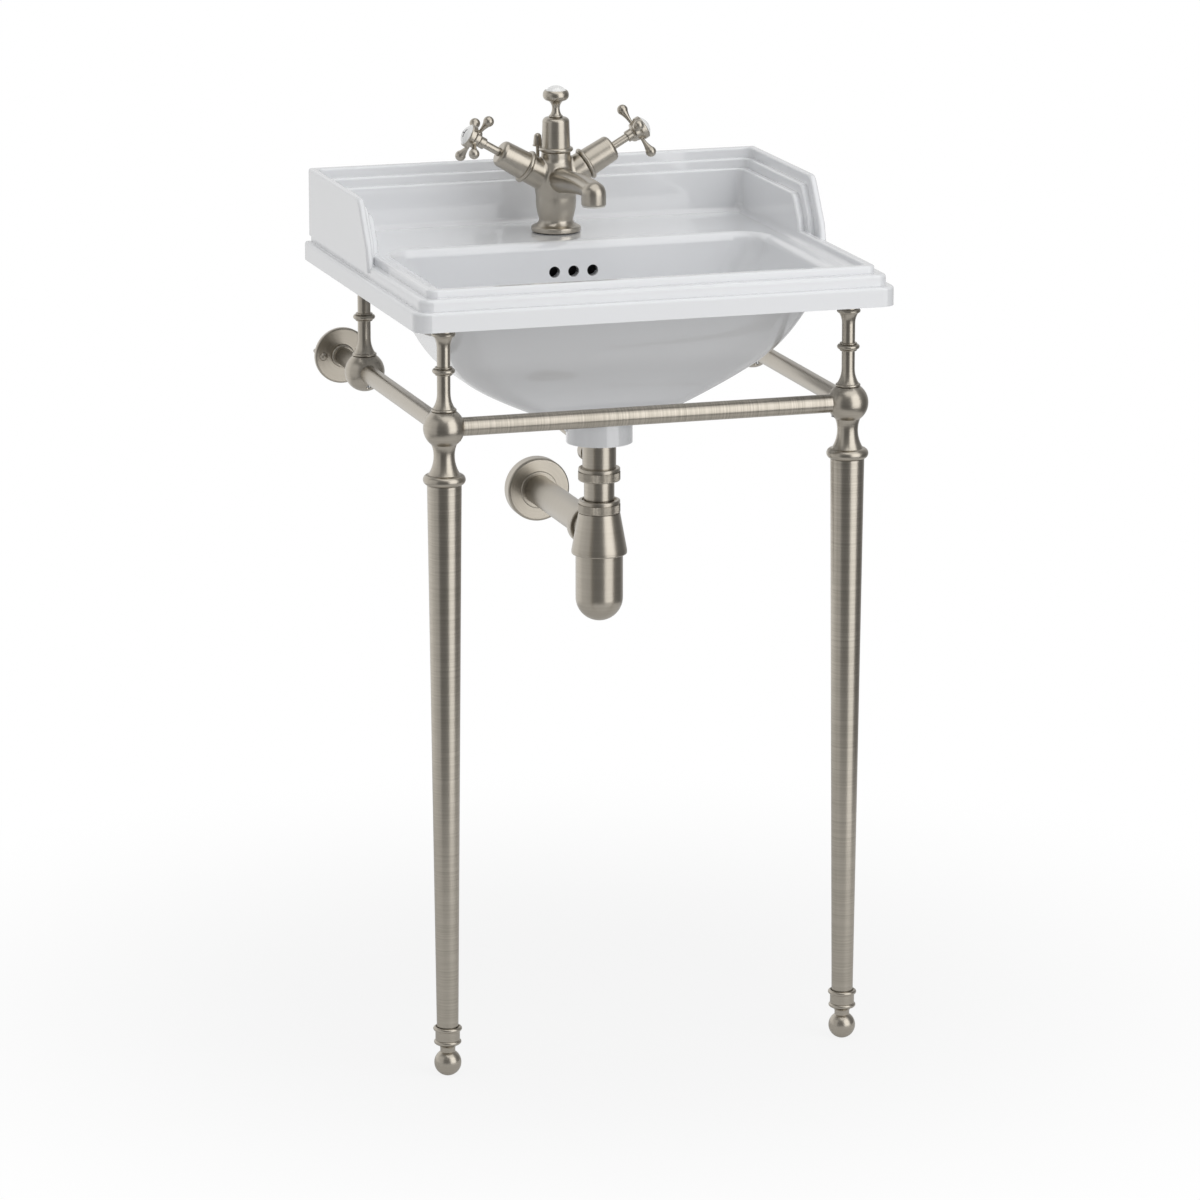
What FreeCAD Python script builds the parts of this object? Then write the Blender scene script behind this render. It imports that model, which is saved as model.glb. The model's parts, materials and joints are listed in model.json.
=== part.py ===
import FreeCAD
import Part
import math
import os
from FreeCAD import Vector

# Console sink on two turned legs, held to the wall at the back.
# Millimetres. +X is right, +Y is to the wall, +Z is up, and the floor is at zero.
# The origin is under the middle of the whole part, screws behind the wall included.

# Shared working values
OVERRUN = 2.0
TOUCH = 0.001
HALF_ROUND_SHARE = 0.5
RIM_BULGE_SHARE = 0.2071

# Plan
BASIN_W = 510.0
BASIN_D = 440.0
WALL_BITE = 35.0
LEG_SIDE_GAP = 39.0
LEG_FRONT_GAP = 40.0
POST_WALL_GAP = 94.5
WASTE_WALL_GAP = 233.5
TAP_WALL_GAP = 79.5

# Leg: ball foot, tapered tube
FOOT_H = 52.0
FOOT_BALL_D = 28.2
FOOT_FLAT_D = 10.0
FOOT_NECK_D = 15.6
FOOT_NECK_H = 3.0
FOOT_RING_D = 28.4
FOOT_TOP_RING_D = 29.8
FOOT_RING_H = 4.5
FOOT_COLLAR_D = 25.4
FOOT_COLLAR_H = 9.7
FOOT_GROOVE_W = 1.2
FOOT_GROOVE_H = 1.6
FOOT_SPIGOT_L = 22.0
FOOT_COVE_SHARE = -0.2
LEG_L = 572.0
LEG_TOP_D = 35.2
LEG_FOOT_D = 22.4
LEG_WALL = 1.6
TUBE_GAP = 0.1

# Knuckle: flange ring, waist and ball between a leg and its upper post
KNUCKLE_RISE = 58.6
KNUCKLE_RING_D = 43.4
KNUCKLE_RING_H = 11.0
KNUCKLE_SHOULDER_D = 32.4
KNUCKLE_WAIST_D = 21.4
KNUCKLE_WAIST_H = 30.0
KNUCKLE_THROAT_D = 26.0
KNUCKLE_SPIGOT_L = 22.0
BALL_D = 42.4

# Upper post with a ringed neck, its stud and its rubber pad
POST_L = 87.1
POST_FOOT_D = 25.8
POST_FOOT_H = 3.4
POST_FLARE_H = 15.5
POST_NECK_D = 13.6
POST_RING_D = 23.3
POST_RING_H = 5.0
POST_RING_Z = 41.8
POST_FILLET_D = 18.0
POST_FILLET_H = 1.8
POST_CAP_D = 24.4
POST_CAP_H = 4.4
POST_CAP_FLARE_H = 11.0
POST_SEAT_D = 19.0
POST_SEAT_H = 5.6
POST_FLARE_SHARE = -0.072
POST_STUD_D = 8.0
POST_STUD_BITE = 12.0
PAD_T = 1.5
PAD_D = 18.0

# Rails and their grub screws
RAIL_D = 19.0
RAIL_WALL = 1.6
RAIL_GAP = 0.05
RAIL_END_GAP = 11.0
GRUB_D = 5.0
GRUB_L = 4.8
GRUB_GAP = 0.05
GRUB_PLACE = 15.2

# Wall flanges and screws
FLANGE_D = 60.0
FLANGE_T = 5.0
FLANGE_ROUND = 1.8
FLANGE_HUB_D = 25.0
FLANGE_HUB_H = 4.0
FLANGE_LIP = 1.2
FLANGE_HUB_L = 14.0
FLANGE_COVE_SHARE = -0.14
FLANGE_SCREW_SPACING = 42.0
SCREW_D = 5.0
SCREW_SHANK_D = 5.6
SCREW_SHANK_OUT = 1.0
SCREW_HEAD_D = 9.0
SCREW_HEAD_H = 3.0
SCREW_GAP = 0.3
SCREW_TIP_L = 6.0
SCREW_TIP_D = 1.2

# Basin: stepped moulding, rim, deck
BAND_H = 20.0
BAND_ROUND = 3.0
BAND_CORNER = 16.0
STEP_IN = 7.0
STEP_H = 12.0
STEP_ROUND = 4.0
STEP_CORNER = 13.0
RIM_IN = 17.0
RIM_H = 8.0
RIM_ROUND = 2.6
RIM_CORNER = 10.0
RIM_W = 9.0
RIM_FRONT_W = 11.0
DECK_DROP = 9.5
DECK_COVE = 6.0
DECK_CORNER = 9.0
DECK_T = 12.5
SKIRT_T = 12.0
PAD_BOSS_D = 42.0

# Basin: upstand along the back and the rear of both sides, in three nested layers
UPSTAND_H = 98.0
UPSTAND_IN = 5.0
UPSTAND_RUN = 199.0
UPSTAND_SLANT_RUN = 31.0
UPSTAND_SLANT_H = 46.0
UPSTAND_FOOT_RUN = 7.0
UPSTAND_FOOT_H = 26.0
UPSTAND_TOP_ROUND = 14.0
UPSTAND_LOW_ROUND = 20.0
LIP_SIDE_T = 7.0
LIP_BACK_T = 6.0
LIP_ROUND = 2.6
LIP_CORNER = 9.0
LEDGE_DROP = 11.0
LEDGE_SETBACK = 17.0
LEDGE_SIDE_T = 6.5
LEDGE_BACK_T = 4.5
LEDGE_ROUND = 2.2
LEDGE_CORNER = 8.0
PANEL_DROP = 10.0
PANEL_SETBACK = 13.0
PANEL_BACK_T = 4.5
PANEL_ROUND = 2.2
PANEL_CORNER = 7.0

# Basin: bowl, outlet boss, overflow
BOWL_SIDE_LEDGE = 25.0
BOWL_FRONT_LEDGE = 20.5
BOWL_REAR_REACH = 90.5
BOWL_DEPTH = 160.5
BOWL_FLOOR_W = 90.0
BOWL_FLOOR_FRONT = 36.0
BOWL_FLOOR_REAR = 38.0
BOWL_CORNER = 30.0
BOWL_ROLL = 9.0
BOWL_WALL = 10.0
BOWL_DEPTH_SHARES = (0.0, 0.29, 0.52, 0.7, 0.83, 0.93, 1.0)
BOWL_SIDE_SHARES = (1.0, 0.906, 0.785, 0.625, 0.41, 0.18, 0.0)
BOWL_FRONT_SHARES = (1.0, 0.6, 0.377, 0.13, 0.02, 0.0, 0.0)
BOWL_REAR_SHARES = (1.0, 0.99, 0.952, 0.914, 0.8, 0.457, 0.0)
BOWL_SHELL_TOP_SHARE = 0.04
OUTLET_BOSS_D = 70.0
OUTLET_BOSS_H = 26.4
OUTLET_RECESS_D = 60.0
OUTLET_RECESS_H = 15.0
OUTLET_HOLE_D = 45.0
OUTLET_SEAT_H = 2.0
OVERFLOW_D = 12.0
OVERFLOW_PITCH = 21.0
OVERFLOW_DROP = 32.0
DUCT_W = 60.0
DUCT_DEPTH = 8.0
DUCT_WALL = 6.0
DUCT_TOP_DROP = 20.0
TAP_HOLE_D = 35.0
ROD_HOLE_D = 6.4

# Tap: body, arms, spout
GASKET_T = 0.8
GASKET_EDGE = 3.0
GASKET_NOTCH_EDGE = 0.8
TAP_BASE_D = 52.8
TAP_BASE_H = 6.0
TAP_BASE_ROUND = 1.6
TAP_WAIST_D = 35.8
TAP_WAIST_H = 12.8
TAP_BELLY_D = 43.0
TAP_BELLY_H = 38.0
TAP_NECK_D = 31.0
TAP_NECK_H = 85.3
TAP_SHOULDER_H = 76.0
TAP_BULB_D = 43.0
TAP_ARM_RISE = 51.0
TAP_ARM_D = 31.0
TAP_ARM_L = 36.3
TAP_ARM_TILT = 30.0
TAP_BORE_D = 18.0
TAP_BORE_L = 18.0
TAP_COVE_SHARE = -0.16
TAP_SWELL_SHARE = 0.05
TAP_SHOULDER_SHARE = 0.1
SPOUT_RISE = 56.5
SPOUT_REACH = 135.0
SPOUT_DROP = 7.2
SPOUT_W = 26.0
SPOUT_ROOT_H = 25.0
SPOUT_TIP_H = 11.5
SPOUT_REACH_SHARES = (0.06, 0.18, 0.41, 0.65, 0.85, 1.0)
SPOUT_DROP_SHARES = (0.0, -0.11, -0.55, -0.95, -1.1, -1.05)
SPOUT_WIDTH_SHARES = (0.98, 0.975, 0.95, 0.95, 0.97, 0.99)
SPOUT_DEPTH_SHARES = (1.0, 1.0, 0.94, 0.86, 0.78, 0.74)
AERATOR_D = 22.0
AERATOR_H = 9.0
AERATOR_LIP_D = 24.0
AERATOR_LIP_H = 1.6
AERATOR_HOLE_D = 15.0

# Tap: bonnets, cartridges, spindles
BONNET_L = 36.4
BONNET_RING_D = 36.4
BONNET_RING_H = 4.6
BONNET_FOOT_D = 30.4
BONNET_TOP_D = 28.6
BONNET_SHOULDER = 5.0
BONNET_CAVITY_D = 23.8
BONNET_ROOF_T = 6.0
SPINDLE_D = 8.6
SPINDLE_L = 54.0
SPINDLE_FOOT = 46.0
SPINDLE_GAP = 0.06
BONNET_GAP = 0.5
CARTRIDGE_FLANGE_D = 23.0
CARTRIDGE_FLANGE_H = 5.0
CARTRIDGE_BARREL_D = 17.0
CARTRIDGE_BARREL_L = 22.0
CARTRIDGE_GAP = 0.1
CARTRIDGE_END_GAP = 2.0

# Tap: cross handles and porcelain buttons
HANDLE_PLACE = 103.6
HANDLE_FOOT = 91.0
HANDLE_TOP = 113.0
HANDLE_COLLAR_D = 12.4
HANDLE_COLLAR_H = 7.5
HANDLE_BAND_D = 20.0
HANDLE_STEP = 1.4
HANDLE_CUP_D = 25.4
HANDLE_CUP_H = 7.6
HANDLE_CUP_ROUND = 1.4
HANDLE_REACH = 27.0
HANDLE_BALL_D = 11.4
HANDLE_ARM_ROOT_D = 4.2
HANDLE_ARM_TIP_D = 8.8
HANDLE_ARM_SHARE = -0.06
HANDLE_SEAM_TURN = 45.0
HANDLE_SCREW_D = 4.0
HANDLE_SCREW_HEAD_D = 7.0
HANDLE_SCREW_HEAD_H = 2.6
HANDLE_SCREW_GAP = 0.1
HANDLE_SCREW_BITE = 10.0
HANDLE_TAP_L = 12.0
HOT_HANDLE_TURN = 32.0
COLD_HANDLE_TURN = 65.0
BUTTON_D = 22.6
CENTRE_BUTTON_D = 21.2
BUTTON_SEAT_H = 4.0
BUTTON_DOME_H = 5.0
BUTTON_GAP = 0.1

# Tap: centre finial
FINIAL_FOOT_D = 14.8
FINIAL_FOOT_H = 2.2
FINIAL_WAIST_D = 8.2
FINIAL_WAIST_H = 9.5
FINIAL_THROAT_D = 16.0
FINIAL_THROAT_H = 17.5
FINIAL_BULB_D = 27.6
FINIAL_BULB_H = 23.8
FINIAL_RIM_D = 23.6
FINIAL_H = 28.6
FINIAL_SHANK_D = 8.0
FINIAL_SHANK_BITE = 12.0
FINIAL_BULB_SHARE = 0.22

# Tap: clamp under the deck and inlets
INLET_D = 9.0
INLET_L = 14.0
INLET_SPREAD = 16.0
INLET_BACK = 4.0
INLET_LEAN = 4.0
CLAMP_STUD_D = 8.0
CLAMP_STUD_FRONT = 9.5
CLAMP_STUD_BITE = 12.0
CLAMP_STUD_TAIL = 16.0
CLAMP_D = 49.0
CLAMP_WASHER_T = 2.0
CLAMP_PLATE_T = 2.5
CLAMP_EDGE = 2.0
CLAMP_NUT_ACROSS = 13.0
CLAMP_NUT_H = 9.0
CLAMP_GAP = 0.1

# Pop-up: lift rod and knob, link clamp, lever, plug
LIFT_ROD_D = 4.0
LIFT_BACK = 18.5
LIFT_GUIDE_GAP = 0.3
LIFT_CRANK_RISE = 46.0
LIFT_ELBOW_D = 4.6
LIFT_KNOB_SIDE = 14.6
LIFT_KNOB_D = 10.8
LIFT_KNOB_H = 13.7
LIFT_KNOB_RISE = 88.8
LIFT_KNOB_BITE = 4.5
LIFT_KNOB_RADIUS_SHARES = (1.0, 1.0, 0.87, 0.83, 0.72)
LIFT_KNOB_HEIGHT_SHARES = (0.0, 0.08, 0.1, 0.4, 0.76)
LINK_T = 10.0
LINK_W = 13.0
LINK_WEB = 3.0
LINK_GRIP = 10.0
LINK_SLOT_W = 5.8
LINK_SLOT_H = 10.6
LINK_GAP = 0.05
LINK_SCREW_D = 4.0
LINK_SCREW_HEAD_D = 9.0
LINK_SCREW_HEAD_H = 7.0
LEVER_D = 5.0
LEVER_BALL_D = 11.0
LEVER_INNER_L = 28.0
LEVER_TAIL_L = 16.0
LEVER_TILT = 2.0
LEVER_NOSE = 3.0
PLUG_TRAVEL = 7.0
PLUG_D = 42.0
PLUG_EDGE_H = 2.4
PLUG_DOME_H = 3.6
PLUG_STEM_D = 9.0
PLUG_FIN_T = 2.4
PLUG_FIN_D = 30.0
PLUG_FIN_L = 26.0
PLUG_FIN_GAP = 8.0
PLUG_LEVER_GAP = 0.4
PLUG_SEAL_D = 37.0
PLUG_SEAL_T = 3.0

# Waste: body with tail and side port, seals, back nut
WASTE_FLANGE_D = 64.0
WASTE_FLANGE_T = 2.6
WASTE_THREAD_D = 41.9
WASTE_BORE_D = 33.6
WASTE_TAIL_D = 35.5
WASTE_TAIL_BORE_D = 32.3
WASTE_TAIL_L = 35.6
WASTE_SLOT_W = 22.0
WASTE_SLOT_H = 7.0
WASTE_SEAL_T = 3.0
WASTE_SEAL_GAP = 0.2
BACK_NUT_D = 56.0
BACK_NUT_H = 9.0
BACK_NUT_GAP = 0.1
BACK_NUT_NOTCHES = 6
BACK_NUT_NOTCH_D = 9.0
PORT_DROP = 17.6
PORT_D = 19.0
PORT_BORE_D = 14.0
PORT_L = 38.0
PIVOT_SEAT_L = 10.0
PIVOT_SEAT_MOUTH_D = 10.8
PIVOT_GAP = 0.06
PIVOT_NUT_D = 23.0
PIVOT_NUT_L = 13.0
PIVOT_NUT_LIP = 3.0
PIVOT_NUT_MOUTH_D = 15.2

# Bottle trap
TRAP_PIPE_D = 32.0
TRAP_PIPE_WALL = 1.3
TRAP_PIPE_BITE = 8.0
DRAIN_SPIGOT_D = 31.6
DRAIN_SPIGOT_OUT = 1.0
TRAP_NUT_D = 44.0
TRAP_NUT_H = 14.0
TRAP_NUT_LIP_H = 3.2
TRAP_NUT_GROOVE_H = 1.4
TRAP_NUT_GROOVE = 1.2
TRAP_NUT_ROUND = 1.2
TRAP_NUT_OVERLAP = 8.0
TRAP_NUT_DISH_D = 37.0
TRAP_NUT_DISH = 1.5
TRAP_SEAL_H = 3.0
TRAP_FIT_GAP = 0.1
TRAP_VISIBLE_PIPE = 20.5
TRAP_NECK_D = 38.0
TRAP_BODY_TOP_D = 44.0
TRAP_BODY_D = 58.6
TRAP_BODY_H = 44.0
TRAP_BODY_HEM_H = 4.0
TRAP_BODY_WALL = 3.0
TRAP_CUP_D = 50.0
TRAP_CUP_WALL = 2.2
TRAP_CUP_BITE = 10.0
TRAP_CUP_DROP = 47.2
TRAP_DIP_GAP = 16.0
TRAP_OUTLET_RISE = 22.0
TRAP_OUTLET_NECK_L = 40.0
TRAP_OUTLET_OVERLAP = 12.0
TRAP_FLANGE_D = 69.5
TRAP_FLANGE_L = 16.0
TRAP_FLANGE_WALL = 1.6
TRAP_FLANGE_COLLAR_D = 41.0
TRAP_FLANGE_ROUND = 2.6

# Places worked out from the sizes above
HALF_W = BASIN_W / 2
FRONT_Y = -(BASIN_D + WALL_BITE) / 2
WALL_Y = FRONT_Y + BASIN_D
LEG_X = HALF_W - LEG_SIDE_GAP
LEG_Y = FRONT_Y + LEG_FRONT_GAP
POST_Y = WALL_Y - POST_WALL_GAP
BALL_R = BALL_D / 2
BALL_FLAT_H = math.sqrt(BALL_R ** 2 - (POST_FOOT_D / 2) ** 2)
LEG_TOP_Z = FOOT_H + LEG_L
BALL_Z = LEG_TOP_Z + KNUCKLE_RISE
POST_Z = BALL_Z + BALL_FLAT_H
SLAB_Z = POST_Z + POST_L + PAD_T
BAND_Z = SLAB_Z + BAND_H
STEP_Z = BAND_Z + STEP_H
RIM_Z = STEP_Z + RIM_H
DECK_Z = RIM_Z - DECK_DROP
DECK_UNDER_Z = DECK_Z - DECK_T
UPSTAND_Z = SLAB_Z + UPSTAND_H
RECESS_X = HALF_W - RIM_IN - RIM_W
RECESS_FRONT_Y = FRONT_Y + RIM_IN + RIM_FRONT_W
RECESS_BACK_Y = WALL_Y - LIP_BACK_T - LEDGE_BACK_T - PANEL_BACK_T
WASTE_Y = WALL_Y - WASTE_WALL_GAP
BOWL_W = 2 * (RECESS_X - BOWL_SIDE_LEDGE)
BOWL_FRONT_REACH = WASTE_Y - RECESS_FRONT_Y - BOWL_FRONT_LEDGE
BOWL_FLOOR_Z = DECK_Z - BOWL_DEPTH
SHELL_FLOOR_Z = BOWL_FLOOR_Z - BOWL_WALL
BOSS_Z = SHELL_FLOOR_Z - OUTLET_BOSS_H
RECESS_ROOF_Z = BOSS_Z + OUTLET_RECESS_H
TAP_Y = WALL_Y - TAP_WALL_GAP
TAP_Z = DECK_Z + GASKET_T
TAP_CENTRE = Vector(0, TAP_Y, TAP_Z + TAP_ARM_RISE)
LIFT_SPOT = Vector(0, TAP_Y + LIFT_BACK, 0)
KNOB_SPOT = LIFT_SPOT - Vector(LIFT_KNOB_SIDE, 0, 0)
CRANK_Z = TAP_Z + LIFT_CRANK_RISE
WASTE_SEAT_Z = BOWL_FLOOR_Z - OUTLET_SEAT_H
WASTE_TAIL_Z = BOSS_Z - WASTE_TAIL_L
PORT_Z = BOSS_Z - PORT_DROP
PIVOT = Vector(0, WASTE_Y + LEVER_INNER_L, PORT_Z)
LEVER_OUTER_L = LIFT_SPOT.y - PIVOT.y
LINK_Z = PIVOT.z + LEVER_OUTER_L * math.tan(math.radians(LEVER_TILT))
LINK_GRIP_Z = LINK_Z + LINK_SLOT_H / 2 + LINK_WEB
TRAP_PIPE_TOP_Z = WASTE_TAIL_Z + TRAP_PIPE_BITE
INLET_NUT_Z = WASTE_TAIL_Z + TRAP_NUT_OVERLAP - TRAP_NUT_H
LOWER_NUT_TOP_Z = INLET_NUT_Z - TRAP_VISIBLE_PIPE
LOWER_NUT_Z = LOWER_NUT_TOP_Z - TRAP_NUT_H
TRAP_BODY_Z = LOWER_NUT_Z - TRAP_BODY_H
TRAP_OUTLET_Z = TRAP_BODY_Z + TRAP_OUTLET_RISE
CUP_CENTRE_Z = TRAP_BODY_Z - TRAP_CUP_DROP
CLAMP_PLATE_Z = DECK_UNDER_Z - CLAMP_WASHER_T
CLAMP_NUT_TOP_Z = CLAMP_PLATE_Z - CLAMP_PLATE_T
SPINDLE_TOP = SPINDLE_FOOT + SPINDLE_L
BUTTON_SEAT = HANDLE_TOP - BUTTON_SEAT_H
SCREW_SEAT = BUTTON_SEAT - HANDLE_SCREW_HEAD_H - HANDLE_SCREW_GAP
FINIAL_FLOOR_Z = TAP_Z + TAP_NECK_H + BONNET_L
LIFT_KNOB_Z = TAP_Z + LIFT_KNOB_RISE
PLUG_SEAT_Z = WASTE_SEAT_Z + WASTE_FLANGE_T
PLUG_Z = PLUG_SEAT_Z + PLUG_SEAL_T + PLUG_TRAVEL
INLET_NUT_SPOT = Vector(0, WASTE_Y, INLET_NUT_Z)
LOWER_NUT_SPOT = Vector(0, WASTE_Y, LOWER_NUT_TOP_Z)
OUTLET_NUT_Y = WASTE_Y + TRAP_OUTLET_NECK_L - TRAP_NUT_OVERLAP + TRAP_NUT_H
OUTLET_NUT_SPOT = Vector(0, OUTLET_NUT_Y, TRAP_OUTLET_Z)
UP = Vector(0, 0, 1)
DOWN = Vector(0, 0, -1)
TO_WALL = Vector(0, 1, 0)
TO_FRONT = Vector(0, -1, 0)
SIDES = (("left", -1), ("right", 1))


def rod(radius, start, end):
    """Solid cylinder from one point to another."""
    return Part.makeCylinder(radius, (end - start).Length, start, end - start)


def tube(outer_r, inner_r, start, end):
    """Round tube, or a ring, from one point to another."""
    return rod(outer_r, start, end).cut(rod(inner_r, start, end))


def slab(low, high):
    """Box between two corners."""
    size = high - low
    return Part.makeBox(size.x, size.y, size.z, low)


def fused(first, *others):
    """One solid from several that meet."""
    return first.fuse(list(others)).removeSplitter()


def moved(shape, shift):
    """Copy of a shape, shifted."""
    copy = shape.copy()
    copy.translate(shift)
    return copy


def aimed(shape, spot, axis):
    """Copy of a piece turned about +Z, set with its +Z along axis and its foot at spot."""
    copy = shape.copy()
    copy.Placement = FreeCAD.Placement(spot, FreeCAD.Rotation(UP, axis)).multiply(copy.Placement)
    return copy


def group(shapes):
    """Separate solids that share one node."""
    return Part.makeCompound(list(shapes))


def outline(corners):
    """Closed wire through corner points, each with its own rounding radius."""
    bends = []
    for index, (here, radius) in enumerate(corners):
        before = (corners[index - 1][0] - here).normalize()
        after = (corners[(index + 1) % len(corners)][0] - here).normalize()
        half = before.getAngle(after) / 2
        reach = radius / math.tan(half)
        inward = (before + after).normalize() * (radius / math.sin(half) - radius)
        bends.append((here + before * reach, here + inward, here + after * reach, radius))
    edges = []
    for index, (start, middle, end, radius) in enumerate(bends):
        if radius > 0:
            edges.append(Part.Arc(start, middle, end).toShape())
        following = bends[(index + 1) % len(bends)][0]
        if (following - end).Length > TOUCH:
            edges.append(Part.makeLine(end, following))
    return Part.Wire(edges)


def prism(corners, height):
    """Upright solid on a rounded outline."""
    return Part.Face(outline(corners)).extrude(Vector(0, 0, height))


def hexagon(across, height, foot):
    """Hexagonal bar across its flats, standing on foot."""
    reach = across / math.sqrt(3)
    corners = []
    for turn in range(0, 360, 60):
        angle = math.radians(turn)
        corners.append((foot + Vector(reach * math.cos(angle), reach * math.sin(angle), 0), 0))
    return prism(corners, height)


class Lathe:
    """Half profile of a turned piece, radius against height, drawn from the axis outwards and up."""

    def __init__(self, height=0.0):
        self.first = Vector(0, 0, height)
        self.pen = self.first
        self.edges = []

    def line(self, radius, height):
        tip = Vector(radius, 0, height)
        if (tip - self.pen).Length > TOUCH:
            self.edges.append(Part.makeLine(self.pen, tip))
            self.pen = tip
        return self

    def arc(self, middle_r, middle_h, radius, height):
        tip = Vector(radius, 0, height)
        self.edges.append(Part.Arc(self.pen, Vector(middle_r, 0, middle_h), tip).toShape())
        self.pen = tip
        return self

    def curve(self, radius, height, bulge_share):
        """Arc that stands off its chord, outwards where the share is positive."""
        tip = Vector(radius, 0, height)
        chord = tip - self.pen
        outward = Vector(chord.z, 0, -chord.x) * bulge_share
        middle = (self.pen + tip) * HALF_ROUND_SHARE + outward
        self.edges.append(Part.Arc(self.pen, middle, tip).toShape())
        self.pen = tip
        return self

    def roll(self, radius, height):
        """Half-round rim."""
        low = self.pen.z
        self.line(radius - height / 2, low)
        return self.curve(radius - height / 2, low + height, HALF_ROUND_SHARE)

    def bead(self, radius, height):
        """Ring with a half-round rim, back to the radius where it started."""
        start_r = self.pen.x
        self.roll(radius, height)
        return self.line(start_r, self.pen.z)

    def waist(self, waist_r, waist_h, radius, height):
        """Hollow neck in two arcs that meet upright at the waist."""
        narrow = Vector(waist_r, 0, waist_h)
        tip = Vector(radius, 0, height)
        for outer, end in ((self.pen, narrow), (tip, tip)):
            reach = outer - narrow
            bend_r = reach.Length ** 2 / (2 * reach.x)
            centre = narrow + Vector(bend_r, 0, 0)
            middle = centre + (outer - centre + narrow - centre).normalize() * bend_r
            self.arc(middle.x, middle.z, end.x, end.z)
        return self

    def dome(self, height):
        """Cap of a sphere up to the axis."""
        radius = self.pen.x
        low = self.pen.z
        ball_r = (radius ** 2 + height ** 2) / (2 * height)
        half = math.asin(radius / ball_r) / 2
        middle_h = low + height - ball_r * (1 - math.cos(half))
        return self.arc(ball_r * math.sin(half), middle_h, 0, low + height)

    def solid(self):
        self.line(0, self.pen.z)
        self.edges.append(Part.makeLine(self.pen, self.first))
        face = Part.Face(Part.Wire(self.edges))
        return face.revolve(Vector(), UP, 360)


def ball_height(ball_r, radius):
    """Height of a ball's surface above its centre at a radius from its axis."""
    return math.sqrt(ball_r ** 2 - radius ** 2)


# Stand

def leg_foot():
    """Ball foot with two rings and a spigot that goes up into the leg tube."""
    ball_r = FOOT_BALL_D / 2
    neck_r = FOOT_NECK_D / 2
    ball_z = ball_height(ball_r, FOOT_FLAT_D / 2)
    neck_z = ball_z + ball_height(ball_r, neck_r)
    collar_r = FOOT_COLLAR_D / 2
    ring_z = FOOT_H - 2 * FOOT_RING_H - FOOT_COLLAR_H
    spigot_r = LEG_FOOT_D / 2 - LEG_WALL - TUBE_GAP
    profile = Lathe().line(FOOT_FLAT_D / 2, 0)
    profile.arc(ball_r, ball_z, neck_r, neck_z)
    profile.line(neck_r, neck_z + FOOT_NECK_H)
    profile.curve(collar_r, ring_z, FOOT_COVE_SHARE)
    profile.bead(FOOT_RING_D / 2, FOOT_RING_H)
    profile.line(collar_r, ring_z + FOOT_RING_H + FOOT_COLLAR_H)
    profile.bead(FOOT_TOP_RING_D / 2, FOOT_RING_H)
    profile.line(spigot_r, FOOT_H)
    profile.line(spigot_r, FOOT_H + FOOT_SPIGOT_L)
    groove_r = LEG_FOOT_D / 2
    top = Vector(0, 0, FOOT_H)
    groove = tube(groove_r + FOOT_GROOVE_W, groove_r, top - UP * FOOT_GROOVE_H, top)
    return profile.solid().cut(groove)


def leg_tube():
    """Tapered tube from the foot up to the knuckle's flange ring."""
    outer = Part.makeCone(LEG_FOOT_D / 2, LEG_TOP_D / 2, LEG_L)
    inner = Part.makeCone(LEG_FOOT_D / 2 - LEG_WALL, LEG_TOP_D / 2 - LEG_WALL, LEG_L)
    return moved(outer.cut(inner), Vector(0, 0, FOOT_H))


def socketed(ball, directions):
    """Ball with a rail socket and a grub screw hole for each direction, and a stud hole on top."""
    centre = Vector(0, 0, BALL_Z)
    top = Vector(0, 0, POST_Z)
    cuts = [rod(POST_STUD_D / 2 + TUBE_GAP, top - UP * POST_STUD_BITE, top + UP * OVERRUN)]
    for way in directions:
        cuts.append(rod(RAIL_D / 2 + RAIL_GAP, centre + way * RAIL_END_GAP, centre + way * BALL_D))
        foot = centre + way * GRUB_PLACE
        cuts.append(rod(GRUB_D / 2 + GRUB_GAP, foot - UP * BALL_R, foot))
    return ball.cut(cuts)


def front_knuckle(side):
    """Flange ring, waist and ball, with a spigot down into the leg tube."""
    spigot_r = LEG_TOP_D / 2 - LEG_WALL - TUBE_GAP
    throat_r = KNUCKLE_THROAT_D / 2
    profile = Lathe(LEG_TOP_Z - KNUCKLE_SPIGOT_L)
    profile.line(spigot_r - LEG_WALL, LEG_TOP_Z - KNUCKLE_SPIGOT_L)
    profile.line(spigot_r - LEG_WALL, LEG_TOP_Z)
    profile.line(KNUCKLE_SHOULDER_D / 2, LEG_TOP_Z)
    profile.bead(KNUCKLE_RING_D / 2, KNUCKLE_RING_H)
    throat_z = BALL_Z - ball_height(BALL_R, throat_r)
    profile.waist(KNUCKLE_WAIST_D / 2, LEG_TOP_Z + KNUCKLE_WAIST_H, throat_r, throat_z)
    profile.arc(BALL_R, BALL_Z, POST_FOOT_D / 2, POST_Z)
    return socketed(profile.solid(), (Vector(-side, 0, 0), Vector(0, 1, 0)))


def rear_knuckle():
    """Ball that carries a rear post, a side rail and the wall spigot."""
    profile = Lathe(BALL_Z - BALL_R)
    low = BALL_R * math.sin(math.radians(45))
    profile.arc(low, BALL_Z - low, BALL_R, BALL_Z)
    profile.arc(low, BALL_Z + low, POST_FOOT_D / 2, POST_Z)
    return socketed(profile.solid(), (Vector(0, -1, 0), Vector(0, 1, 0)))


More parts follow.
